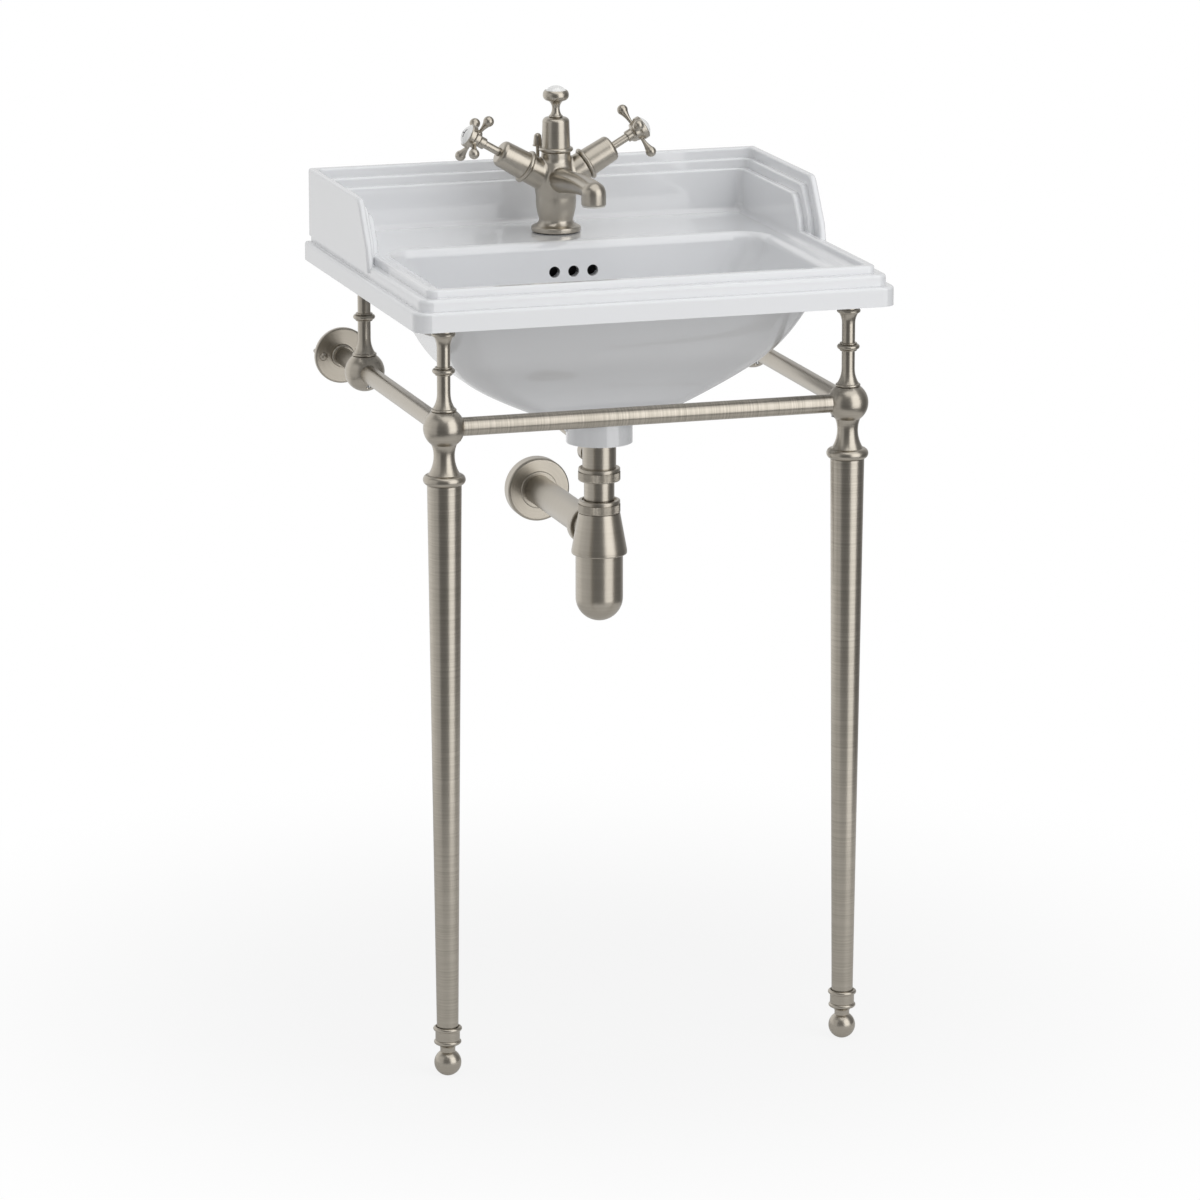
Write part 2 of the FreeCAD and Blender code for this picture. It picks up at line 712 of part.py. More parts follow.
def upper_post():
    """Turned post between a ball and the basin, ringed round its neck, with a cap and a seat."""
    neck_r = POST_NECK_D / 2
    cap_z = POST_L - POST_SEAT_H - POST_CAP_H
    profile = Lathe().roll(POST_FOOT_D / 2, POST_FOOT_H)
    profile.curve(neck_r, POST_FOOT_H + POST_FLARE_H, POST_FLARE_SHARE)
    profile.line(neck_r, POST_RING_Z - POST_RING_H / 2 - POST_FILLET_H)
    profile.roll(POST_FILLET_D / 2, POST_FILLET_H)
    profile.roll(POST_RING_D / 2, POST_RING_H)
    profile.roll(POST_FILLET_D / 2, POST_FILLET_H)
    profile.line(neck_r, profile.pen.z)
    profile.line(neck_r, cap_z - POST_CAP_FLARE_H)
    profile.curve(POST_CAP_D / 2 - POST_CAP_H / 2, cap_z, POST_FLARE_SHARE)
    profile.roll(POST_CAP_D / 2, POST_CAP_H)
    profile.line(POST_SEAT_D / 2, cap_z + POST_CAP_H)
    profile.line(POST_SEAT_D / 2, POST_L)
    bore = rod(POST_STUD_D / 2 + TUBE_GAP, Vector(0, 0, -OVERRUN), Vector(0, 0, POST_STUD_BITE))
    return moved(profile.solid().cut(bore), Vector(0, 0, POST_Z))


def post_spots():
    """Plan places of the four posts."""
    return [Vector(side * LEG_X, y, 0) for name, side in SIDES for y in (LEG_Y, POST_Y)]


def post_studs():
    """Threaded studs that join the posts to the balls."""
    low = Vector(0, 0, POST_Z - POST_STUD_BITE)
    high = Vector(0, 0, POST_Z + POST_STUD_BITE)
    return group(rod(POST_STUD_D / 2, spot + low, spot + high) for spot in post_spots())


def post_pads():
    """Rubber pads between the posts and the basin."""
    low = UP * (SLAB_Z - PAD_T)
    return group(rod(PAD_D / 2, spot + low, spot + UP * SLAB_Z) for spot in post_spots())


def rail(start, end):
    """Round rail between two balls, into the sockets of both."""
    way = (end - start).normalize() * RAIL_END_GAP
    return tube(RAIL_D / 2, RAIL_D / 2 - RAIL_WALL, start + way, end - way)


def grub_screws():
    """Set screws up into the balls, under every rail end and wall spigot."""
    places = []
    for name, side in SIDES:
        front = Vector(side * LEG_X, LEG_Y, BALL_Z)
        rear = Vector(side * LEG_X, POST_Y, BALL_Z)
        places.append(front - Vector(side * GRUB_PLACE, 0, 0))
        places.append(front + Vector(0, GRUB_PLACE, 0))
        places.append(rear - Vector(0, GRUB_PLACE, 0))
        places.append(rear + Vector(0, GRUB_PLACE, 0))
    top = Vector(0, 0, -RAIL_D / 2)
    return group(rod(GRUB_D / 2, place + top - UP * GRUB_L, place + top) for place in places)


def wall_spigot(side):
    """Tube from a rear ball to its wall flange."""
    start = Vector(side * LEG_X, POST_Y + RAIL_END_GAP, BALL_Z)
    return tube(RAIL_D / 2, RAIL_D / 2 - RAIL_WALL, start, Vector(start.x, WALL_Y, BALL_Z))


def flange_screw_spots(side):
    """Places of one flange's two screws, on the wall face."""
    return [Vector(side * LEG_X + end * FLANGE_SCREW_SPACING / 2, WALL_Y, BALL_Z) for end in (-1, 1)]


def wall_flange(side):
    """Round plate against the wall with a hub that the spigot passes into."""
    flange_r = FLANGE_D / 2
    hub_r = FLANGE_HUB_D / 2
    profile = Lathe().line(flange_r, 0)
    profile.line(flange_r, FLANGE_T - FLANGE_ROUND)
    profile.curve(flange_r - FLANGE_ROUND, FLANGE_T, RIM_BULGE_SHARE)
    profile.line(hub_r, FLANGE_T)
    profile.roll(hub_r, FLANGE_HUB_H)
    profile.curve(RAIL_D / 2 + FLANGE_LIP, FLANGE_HUB_L, FLANGE_COVE_SHARE)
    centre = Vector(side * LEG_X, WALL_Y, BALL_Z)
    plate = aimed(profile.solid(), centre, TO_FRONT)
    front = TO_FRONT * (FLANGE_HUB_L + OVERRUN)
    cuts = [rod(RAIL_D / 2 + RAIL_GAP, centre + front, centre + TO_WALL * OVERRUN)]
    for spot in flange_screw_spots(side):
        cuts.append(rod(SCREW_SHANK_D / 2 + SCREW_GAP, spot + front, spot + TO_WALL * OVERRUN))
    return plate.cut(cuts)


def wall_screws():
    """Round-headed screws through both flanges into the wall."""
    head_r = SCREW_HEAD_D / 2
    profile = Lathe(-WALL_BITE)
    profile.line(SCREW_TIP_D / 2, -WALL_BITE)
    profile.line(SCREW_D / 2, SCREW_TIP_L - WALL_BITE)
    profile.line(SCREW_D / 2, -SCREW_SHANK_OUT)
    profile.line(SCREW_SHANK_D / 2, -SCREW_SHANK_OUT)
    profile.line(SCREW_SHANK_D / 2, FLANGE_T)
    profile.line(head_r, FLANGE_T)
    profile.dome(SCREW_HEAD_H)
    screw = profile.solid()
    spots = [spot for name, side in SIDES for spot in flange_screw_spots(side)]
    return group(aimed(screw, spot, TO_FRONT) for spot in spots)


# Basin

def front_outline(half, front, corner, height):
    """Plan that is rounded at its two front corners and square at the wall."""
    return [
        (Vector(-half, front, height), corner),
        (Vector(half, front, height), corner),
        (Vector(half, WALL_Y, height), 0),
        (Vector(-half, WALL_Y, height), 0),
    ]


def rounded_top(solid, top_z, radius):
    """Solid with its top edges rounded, apart from the edge against the wall."""
    edges = []
    for edge in solid.Edges:
        box = edge.BoundBox
        if box.ZMin > top_z - TOUCH and box.YMin < WALL_Y - TOUCH:
            edges.append(edge)
    return solid.makeFillet(radius, edges)


def moulding_step(inset, corner, top_z, edge_round):
    """One step of the moulding round the front and sides of the basin."""
    corners = front_outline(HALF_W - inset, FRONT_Y + inset, corner, SLAB_Z)
    return rounded_top(prism(corners, top_z - SLAB_Z), top_z, edge_round)


def deck_recess():
    """Space over the deck, inside the rim and the upstand, with a cove round its floor."""
    corners = []
    for x, y in ((-1, RECESS_FRONT_Y), (1, RECESS_FRONT_Y), (1, RECESS_BACK_Y), (-1, RECESS_BACK_Y)):
        corners.append((Vector(x * RECESS_X, y, DECK_Z), DECK_CORNER))
    space = prism(corners, UPSTAND_H)
    floor_edges = [edge for edge in space.Edges if edge.BoundBox.ZMax < DECK_Z + TOUCH]
    return space.makeFillet(DECK_COVE, floor_edges)


def moulded_slab():
    """Stepped slab with its rim round the sunk deck."""
    band = moulding_step(0, BAND_CORNER, BAND_Z, BAND_ROUND)
    step = moulding_step(STEP_IN, STEP_CORNER, STEP_Z, STEP_ROUND)
    rim = moulding_step(RIM_IN, RIM_CORNER, RIM_Z, RIM_ROUND)
    block = fused(band, step, rim).cut(deck_recess())
    inner = []
    for edge in block.Edges:
        box = edge.BoundBox
        reaches_in = abs(edge.CenterOfMass.x) < RECESS_X + TOUCH and box.YMin > RECESS_FRONT_Y - TOUCH
        if box.ZMin > RIM_Z - TOUCH and reaches_in and box.YMax < RECESS_BACK_Y + TOUCH:
            inner.append(edge)
    return block.makeFillet(RIM_ROUND, inner)


def upstand_layer(drop, setback, side_t, back_t, corner, edge_round, outer_in):
    """One layer of the upstand: both sides with slanted fronts, and the back."""
    top = UPSTAND_Z - drop
    outer_x = HALF_W - UPSTAND_IN - outer_in
    inner_x = HALF_W - UPSTAND_IN - side_t
    slope = UPSTAND_SLANT_RUN / UPSTAND_SLANT_H
    bend_y = WALL_Y - UPSTAND_RUN - UPSTAND_SLANT_RUN + setback
    bend_z = UPSTAND_Z - UPSTAND_SLANT_H
    base_z = bend_z - UPSTAND_FOOT_H
    corners = [
        (Vector(-outer_x, WALL_Y, base_z), 0),
        (Vector(-outer_x, WALL_Y, top), 0),
        (Vector(-outer_x, bend_y + (top - bend_z) * slope, top), UPSTAND_TOP_ROUND),
        (Vector(-outer_x, bend_y, bend_z), UPSTAND_LOW_ROUND),
        (Vector(-outer_x, bend_y - UPSTAND_FOOT_RUN, base_z), 0),
    ]
    block = Part.Face(outline(corners)).extrude(Vector(2 * outer_x, 0, 0))
    inside = []
    back_y = WALL_Y - back_t
    for x, y, r in ((-1, FRONT_Y, 0), (1, FRONT_Y, 0), (1, back_y, corner), (-1, back_y, corner)):
        inside.append((Vector(x * inner_x, y, base_z - OVERRUN), r))
    layer = block.cut(prism(inside, 2 * UPSTAND_H))
    edges = []
    for edge in layer.Edges:
        box = edge.BoundBox
        along_side = box.XLength < TOUCH and (box.YLength > TOUCH) and box.YMin < WALL_Y - TOUCH
        along_top = box.ZMin > top - TOUCH
        at_wall = box.YMin > WALL_Y - TOUCH
        at_foot = box.ZMax < base_z + TOUCH
        outer_face = abs(abs(edge.CenterOfMass.x) - outer_x) < TOUCH
        if (along_side or along_top) and not at_wall and not at_foot:
            if outer_in == 0 or not outer_face:
                edges.append(edge)
    return layer.makeFillet(edge_round, edges)


def upstand():
    """Lip, ledge and panel of the upstand, one inside the other."""
    ledge_t = LIP_SIDE_T + LEDGE_SIDE_T
    panel_t = HALF_W - UPSTAND_IN - RECESS_X
    ledge_back = LIP_BACK_T + LEDGE_BACK_T
    panel_back = ledge_back + PANEL_BACK_T
    panel_drop = LEDGE_DROP + PANEL_DROP
    panel_setback = LEDGE_SETBACK + PANEL_SETBACK
    buried = LIP_SIDE_T / 2
    return [
        upstand_layer(0, 0, LIP_SIDE_T, LIP_BACK_T, LIP_CORNER, LIP_ROUND, 0),
        upstand_layer(LEDGE_DROP, LEDGE_SETBACK, ledge_t, ledge_back, LEDGE_CORNER, LEDGE_ROUND, buried),
        upstand_layer(panel_drop, panel_setback, panel_t, panel_back, PANEL_CORNER, PANEL_ROUND, buried),
    ]


def bowl_section(depth_share, side_share, front_share, rear_share, grow):
    """Level outline of the bowl at one depth, grown outwards for its shell."""
    half = BOWL_FLOOR_W / 2 + (BOWL_W - BOWL_FLOOR_W) / 2 * side_share + grow
    front = BOWL_FLOOR_FRONT + (BOWL_FRONT_REACH - BOWL_FLOOR_FRONT) * front_share + grow
    rear = BOWL_FLOOR_REAR + (BOWL_REAR_REACH - BOWL_FLOOR_REAR) * rear_share + grow
    height = DECK_Z - depth_share * (BOWL_DEPTH + grow)
    radius = BOWL_CORNER + grow
    corners = []
    for x, y in ((-half, -front), (half, -front), (half, rear), (-half, rear)):
        corners.append((Vector(x, WASTE_Y + y, height), radius))
    return outline(corners)


def bowl_form(grow, first_share):
    """Solid of the bowl's space, or of its shell, from a first depth down to the floor."""
    sections = [bowl_section(first_share, 1, 1, 1, grow)]
    for row in zip(BOWL_DEPTH_SHARES, BOWL_SIDE_SHARES, BOWL_FRONT_SHARES, BOWL_REAR_SHARES):
        if row[0] > first_share:
            sections.append(bowl_section(*row, grow))
    return Part.makeLoft(sections, True, False)


def rod_notch(width):
    """Upright cutter from the tap's axis out round the lift rod."""
    axis = Vector(0, TAP_Y, SLAB_Z)
    way = LIFT_SPOT - Vector(0, TAP_Y, 0)
    across = Vector(-way.y, way.x, 0).normalize() * (width / 2)
    end = axis + way
    corners = [(axis - across, 0), (end - across, 0), (end + across, 0), (axis + across, 0)]
    return fused(prism(corners, UPSTAND_H), rod(width / 2, end, end + UP * UPSTAND_H))


def behind_bowl(width, low_z, high_z):
    """Block behind the waste axis that bounds the overflow duct."""
    return slab(Vector(-width / 2, WASTE_Y, low_z), Vector(width / 2, RECESS_BACK_Y, high_z))


def basin():
    """Glazed china basin with bowl, overflow duct, upstand and outlet boss.

    It is held as three solids that meet face to face: all from the slab's underside up, the front of
    the bowl and its rear.
    """
    slab_block = moulded_slab()
    pocket_corners = []
    pocket_x = HALF_W - SKIRT_T
    front_y = FRONT_Y + SKIRT_T
    back_y = WALL_Y - SKIRT_T
    for x, y in ((-1, front_y), (1, front_y), (1, back_y), (-1, back_y)):
        pocket_corners.append((Vector(x * pocket_x, y, SLAB_Z - OVERRUN), DECK_CORNER))
    slab_block = slab_block.cut(prism(pocket_corners, DECK_UNDER_Z - SLAB_Z + OVERRUN))
    boss = Vector(0, WASTE_Y, BOSS_Z)
    floor = Vector(0, WASTE_Y, BOWL_FLOOR_Z)
    shell = bowl_form(BOWL_WALL, BOWL_SHELL_TOP_SHARE)
    duct_skin = bowl_form(BOWL_WALL + DUCT_DEPTH + DUCT_WALL, BOWL_SHELL_TOP_SHARE)
    duct_low = BOSS_Z - OVERRUN
    duct_top = DECK_Z - DUCT_TOP_DROP
    duct = duct_skin.common(behind_bowl(DUCT_W + 2 * DUCT_WALL, duct_low, DECK_UNDER_Z + OVERRUN))
    solids = [shell, duct, rod(OUTLET_BOSS_D / 2, boss, Vector(0, WASTE_Y, SHELL_FLOOR_Z + OVERRUN))]
    for spot in post_spots():
        pad_top = spot + Vector(0, 0, DECK_UNDER_Z + OVERRUN)
        solids.append(rod(PAD_BOSS_D / 2, spot + Vector(0, 0, SLAB_Z), pad_top))
    china = slab_block.fuse(solids + upstand())
    duct_space = bowl_form(BOWL_WALL + DUCT_DEPTH, BOWL_SHELL_TOP_SHARE)
    duct_space = duct_space.cut(shell).common(behind_bowl(DUCT_W, duct_low, duct_top))
    tap = Vector(0, TAP_Y, 0)
    cuts = [
        bowl_form(0, -BOWL_SHELL_TOP_SHARE),
        duct_space,
        rod(OUTLET_RECESS_D / 2, boss - UP * OVERRUN, Vector(0, WASTE_Y, RECESS_ROOF_Z)),
        rod(OUTLET_HOLE_D / 2, boss, floor + UP * OVERRUN),
        rod(WASTE_FLANGE_D / 2 + WASTE_SEAL_GAP, floor - UP * OUTLET_SEAT_H, floor + UP * OVERRUN),
        rod(TAP_HOLE_D / 2, tap + UP * SLAB_Z, tap + UP * UPSTAND_Z),
        rod_notch(ROD_HOLE_D),
    ]
    overflow = Vector(0, WASTE_Y + BOWL_REAR_REACH, DECK_Z - OVERFLOW_DROP)
    for place in (-1, 0, 1):
        middle = overflow + Vector(place * OVERFLOW_PITCH, 0, 0)
        start = middle - Vector(0, BOWL_WALL + OVERFLOW_D, 0)
        cuts.append(rod(OVERFLOW_D / 2, start, middle + Vector(0, BOWL_WALL + DUCT_DEPTH / 2, 0)))
    china = china.cut(cuts).removeSplitter()
    roll = []
    for edge in china.Edges:
        box = edge.BoundBox
        level = abs(box.ZMin - DECK_Z) < TOUCH and abs(box.ZMax - DECK_Z) < TOUCH
        between = abs(edge.CenterOfMass.x) < BOWL_W / 2 + TOUCH
        behind = box.YMin > WASTE_Y - BOWL_FRONT_REACH - TOUCH
        if level and between and behind and box.YMax < WASTE_Y + BOWL_REAR_REACH + TOUCH:
            roll.append(edge)
    china = china.makeFillet(BOWL_ROLL, roll)
    front = slab(Vector(-HALF_W, FRONT_Y, 0), Vector(HALF_W, WASTE_Y, SLAB_Z))
    rear = slab(Vector(-HALF_W, WASTE_Y, 0), Vector(HALF_W, WALL_Y, SLAB_Z))
    return group([china.cut([front, rear]), china.common(front), china.common(rear)])


# Tap

def on_arm(shape, side):
    """Piece drawn along +Z from the tap's centre, set on a side arm."""
    lean = FreeCAD.Rotation(Vector(0, 1, 0), side * (90 - TAP_ARM_TILT))
    copy = shape.copy()
    copy.Placement = FreeCAD.Placement(TAP_CENTRE, lean).multiply(copy.Placement)
    return copy


def spout():
    """Cast spout, oval at its root, slimmer towards its end, with an upright round tip."""
    sections = []
    places = zip(SPOUT_REACH_SHARES, SPOUT_DROP_SHARES)
    sizes = zip(SPOUT_WIDTH_SHARES, SPOUT_DEPTH_SHARES)
    for (reach_share, drop_share), (width_share, depth_share) in zip(places, sizes):
        oval = Part.Wire(Part.Circle(Vector(), TO_FRONT, 1).toShape())
        size = FreeCAD.Matrix()
        size.scale(SPOUT_W / 2 * width_share, 1, SPOUT_ROOT_H / 2 * depth_share)
        oval = oval.transformGeometry(size)
        height = TAP_Z + SPOUT_RISE - SPOUT_DROP * drop_share
        oval.translate(Vector(0, TAP_Y - SPOUT_REACH * reach_share, height))
        sections.append(oval)
    tip = spout_tip()
    bend = tip + UP * SPOUT_TIP_H
    nose = fused(rod(SPOUT_W / 2, tip, bend), Part.makeSphere(SPOUT_W / 2, bend))
    return fused(Part.makeLoft(sections, True, False), nose)


def spout_tip():
    """Middle of the spout's outlet."""
    return Vector(0, TAP_Y - SPOUT_REACH, TAP_Z + SPOUT_RISE - SPOUT_DROP)


def tap_body():
    """Cast body: round base, belly, two side arms, neck and spout."""
    base_r = TAP_BASE_D / 2
    profile = Lathe().line(base_r, 0)
    profile.line(base_r, TAP_BASE_H - TAP_BASE_ROUND)
    profile.curve(base_r - TAP_BASE_ROUND, TAP_BASE_H, RIM_BULGE_SHARE)
    profile.curve(TAP_WAIST_D / 2, TAP_WAIST_H, TAP_COVE_SHARE)
    profile.curve(TAP_BELLY_D / 2, TAP_BELLY_H, TAP_SWELL_SHARE)
    profile.curve(TAP_NECK_D / 2, TAP_SHOULDER_H, TAP_SHOULDER_SHARE)
    profile.line(TAP_NECK_D / 2, TAP_NECK_H)
    column = moved(profile.solid(), Vector(0, TAP_Y, TAP_Z))
    bulb = Part.makeSphere(TAP_BULB_D / 2, TAP_CENTRE)
    arms = [on_arm(Part.makeCylinder(TAP_ARM_D / 2, TAP_ARM_L), side) for name, side in SIDES]
    body = fused(column, bulb, spout(), *arms)
    bore = Part.makeCylinder(TAP_BORE_D / 2, TAP_BORE_L + OVERRUN)
    bore.translate(UP * (TAP_ARM_L - TAP_BORE_L))
    cuts = [on_arm(bore, side) for name, side in SIDES]
    foot = Vector(0, TAP_Y, TAP_Z)
    for place in (-1, 1):
        inlet = foot + Vector(place * INLET_SPREAD / 2, INLET_BACK, 0)
        lean = math.radians(INLET_LEAN)
        inward = Vector(-place * math.sin(lean), 0, math.cos(lean))
        cuts.append(rod(INLET_D / 2, inlet - inward * OVERRUN, inlet + inward * INLET_L))
    stud = foot - Vector(0, CLAMP_STUD_FRONT, 0)
    cuts.append(rod(CLAMP_STUD_D / 2 + CLAMP_GAP, stud - UP * OVERRUN, stud + UP * CLAMP_STUD_BITE))
    top = foot + UP * TAP_NECK_H
    cuts.append(rod(FINIAL_SHANK_D / 2 + TUBE_GAP, top - UP * FINIAL_SHANK_BITE, top + UP * OVERRUN))
    cuts.append(rod(LIFT_ROD_D / 2 + LIFT_GUIDE_GAP, LIFT_SPOT + UP * SLAB_Z, LIFT_SPOT + UP * CRANK_Z))
    free = LIFT_ELBOW_D / 2 + LIFT_GUIDE_GAP
    cuts.append(slab(
        KNOB_SPOT + Vector(-free, -free, CRANK_Z - free),
        LIFT_SPOT + Vector(free, TAP_BULB_D, TAP_Z + TAP_NECK_H + OVERRUN),
    ))
    tip = spout_tip()
    cuts.append(rod(AERATOR_D / 2 + TUBE_GAP, tip - UP * OVERRUN, tip + UP * (AERATOR_H - AERATOR_LIP_H)))
    return body.cut(cuts)


def spout_aerator():
    """Flow straightener in the spout's tip."""
    tip = spout_tip()
    low = tip - UP * AERATOR_LIP_H
    barrel = rod(AERATOR_D / 2, tip, low + UP * AERATOR_H)
    lip = rod(AERATOR_LIP_D / 2, low, tip)
    mouth = rod(AERATOR_HOLE_D / 2, low - UP * OVERRUN, tip + UP * (AERATOR_H / 2))
    return fused(barrel, lip).cut(mouth)


def tap_gasket():
    """Rubber ring between the tap's base and the deck."""
    low = Vector(0, TAP_Y, DECK_Z)
    ring = tube(TAP_BASE_D / 2 - GASKET_EDGE, TAP_HOLE_D / 2, low, low + UP * GASKET_T)
    return ring.cut(rod_notch(ROD_HOLE_D - 2 * GASKET_NOTCH_EDGE))


def half_moon(top_z, thickness):
    """Half disc under the deck, in front of the tap's axis, with a hole for the clamp stud."""
    middle = Vector(0, TAP_Y, top_z - thickness)
    disc = rod(CLAMP_D / 2, middle, middle + UP * thickness)
    reach = Vector(CLAMP_D, CLAMP_D, thickness)
    rear = slab(middle - Vector(CLAMP_D, CLAMP_EDGE, 0), middle + reach)
    stud = middle - Vector(0, CLAMP_STUD_FRONT, 0)
    hole = rod(CLAMP_STUD_D / 2 + CLAMP_GAP, stud - UP * OVERRUN, stud + UP * (thickness + OVERRUN))
    return disc.cut([rear, hole])


def clamp_stud():
    """Threaded stud from the tap's base down through the deck."""
    spot = Vector(0, TAP_Y - CLAMP_STUD_FRONT, 0)
    low = CLAMP_NUT_TOP_Z - CLAMP_NUT_H - CLAMP_STUD_TAIL
    return rod(CLAMP_STUD_D / 2, spot + UP * low, spot + UP * (TAP_Z + CLAMP_STUD_BITE))


def clamp_nut():
    """Long hexagon nut that pulls the tap down."""
    foot = Vector(0, TAP_Y - CLAMP_STUD_FRONT, CLAMP_NUT_TOP_Z - CLAMP_NUT_H)
    hole = rod(CLAMP_STUD_D / 2 + CLAMP_GAP, foot - UP * OVERRUN, foot + UP * (CLAMP_NUT_H + OVERRUN))
    return hexagon(CLAMP_NUT_ACROSS, CLAMP_NUT_H, foot).cut(hole)


def bonnet(hole_d):
    """Bell-shaped cover with a ring at its foot, standing at zero along +Z."""
    foot_r = BONNET_FOOT_D / 2
    top_r = BONNET_TOP_D / 2
    profile = Lathe().line(foot_r, 0)
    profile.bead(BONNET_RING_D / 2, BONNET_RING_H)
    profile.line(top_r, BONNET_L - BONNET_SHOULDER)
    profile.curve(top_r - BONNET_SHOULDER, BONNET_L, RIM_BULGE_SHARE)
    cavity = Part.makeCylinder(BONNET_CAVITY_D / 2, BONNET_L - BONNET_ROOF_T)
    hole = Part.makeCylinder(hole_d / 2, BONNET_L + OVERRUN)
    return profile.solid().cut([cavity, hole])


def side_bonnet(side):
    """Bonnet over one valve."""
    return on_arm(moved(bonnet(SPINDLE_D + 2 * BONNET_GAP), Vector(0, 0, TAP_ARM_L)), side)


def centre_bonnet():
    """Ornamental bonnet on the tap's neck, under the finial."""
    return moved(bonnet(FINIAL_SHANK_D + 2 * TUBE_GAP), Vector(0, TAP_Y, TAP_Z + TAP_NECK_H))


def cartridge(side):
    """Quarter-turn valve cartridge, screwed into an arm under its bonnet."""
    barrel_r = CARTRIDGE_BARREL_D / 2
    low = TAP_ARM_L - TAP_BORE_L + CARTRIDGE_END_GAP
    profile = Lathe(low)
    profile.line(TAP_BORE_D / 2 - CARTRIDGE_GAP, low)
    profile.line(TAP_BORE_D / 2 - CARTRIDGE_GAP, TAP_ARM_L)
    profile.line(CARTRIDGE_FLANGE_D / 2, TAP_ARM_L)
    profile.line(CARTRIDGE_FLANGE_D / 2, TAP_ARM_L + CARTRIDGE_FLANGE_H)
    profile.line(barrel_r, TAP_ARM_L + CARTRIDGE_FLANGE_H)
    profile.line(barrel_r, TAP_ARM_L + CARTRIDGE_FLANGE_H + CARTRIDGE_BARREL_L)
    bore = Part.makeCylinder(SPINDLE_D / 2 + SPINDLE_GAP, SPINDLE_L)
    return on_arm(profile.solid().cut(moved(bore, Vector(0, 0, SPINDLE_FOOT - SPINDLE_GAP))), side)


def spindle(side):
    """Spindle from the cartridge up into the handle, tapped for the handle's screw."""
    shaft = Part.makeCylinder(SPINDLE_D / 2, SPINDLE_L)
    tapped = Part.makeCylinder(HANDLE_SCREW_D / 2 + HANDLE_SCREW_GAP, SPINDLE_L)
    shaft = shaft.cut(moved(tapped, UP * (SPINDLE_L - HANDLE_TAP_L)))
    return on_arm(moved(shaft, Vector(0, 0, SPINDLE_FOOT)), side)


def handle_arm():
    """Teardrop arm with a ball end, along +Z from the hub."""
    ball_r = HANDLE_BALL_D / 2
    tip_r = HANDLE_ARM_TIP_D / 2
    ball_z = HANDLE_REACH - HANDLE_COLLAR_D / 2
    profile = Lathe().line(HANDLE_ARM_ROOT_D / 2, 0)
    profile.curve(tip_r, ball_z - ball_height(ball_r, tip_r), HANDLE_ARM_SHARE)
    profile.arc(ball_r, ball_z, 0, ball_z + ball_r)
    return profile.solid()


def cross_handle(side, turn):
    """Cross handle: hub with a cup on top, and four arms with ball ends let into it."""
    collar_r = HANDLE_COLLAR_D / 2
    band_r = HANDLE_BAND_D / 2
    cup_r = HANDLE_CUP_D / 2
    band_z = HANDLE_FOOT + HANDLE_COLLAR_H
    cup_z = HANDLE_TOP - HANDLE_CUP_H
    profile = Lathe(HANDLE_FOOT)
    profile.line(collar_r, HANDLE_FOOT)
    profile.line(collar_r, band_z)
    profile.line(band_r, band_z + HANDLE_STEP)
    profile.line(band_r, cup_z)
    profile.line(cup_r, cup_z + HANDLE_STEP)
    profile.line(cup_r, HANDLE_TOP - HANDLE_CUP_ROUND)
    profile.curve(cup_r - HANDLE_CUP_ROUND, HANDLE_TOP, RIM_BULGE_SHARE)
    hub = profile.solid()
    arm = handle_arm()
    arms = []
    for quarter in range(4):
        angle = math.radians(HANDLE_SEAM_TURN + quarter * 90)
        out = Vector(-side * math.sin(angle), math.cos(angle), 0)
        arms.append(aimed(arm, UP * HANDLE_PLACE + out * collar_r, out).cut(hub))
    cuts = [
        moved(Part.makeCylinder(BUTTON_D / 2 + BUTTON_GAP, BUTTON_SEAT_H + OVERRUN), UP * BUTTON_SEAT),
        moved(Part.makeCylinder(HANDLE_SCREW_HEAD_D / 2 + HANDLE_SCREW_GAP, HANDLE_TOP), UP * SCREW_SEAT),
        moved(Part.makeCylinder(HANDLE_SCREW_D / 2 + HANDLE_SCREW_GAP, HANDLE_TOP), UP * SPINDLE_TOP),
        moved(Part.makeCylinder(SPINDLE_D / 2 + HANDLE_SCREW_GAP, SPINDLE_TOP), Vector()),
    ]
    cross = group([hub.cut(cuts)] + arms)
    cross.rotate(Vector(), UP, side * (turn - HANDLE_SEAM_TURN))
    return on_arm(cross, side)


def handle_screw(side):
    """Screw that holds a handle on its spindle, under the button."""
    shank_low = SPINDLE_TOP - HANDLE_SCREW_BITE
    profile = Lathe(shank_low)
    profile.line(HANDLE_SCREW_D / 2, shank_low)
    profile.line(HANDLE_SCREW_D / 2, SCREW_SEAT)
    profile.line(HANDLE_SCREW_HEAD_D / 2, SCREW_SEAT)
    profile.line(HANDLE_SCREW_HEAD_D / 2, SCREW_SEAT + HANDLE_SCREW_HEAD_H)
    return on_arm(profile.solid(), side)


def button(seat, diameter):
    """Domed porcelain button that stands on its seat along +Z."""
    profile = Lathe(seat).line(diameter / 2, seat)
    profile.line(diameter / 2, seat + BUTTON_SEAT_H)
    profile.dome(BUTTON_DOME_H)
    return profile.solid()


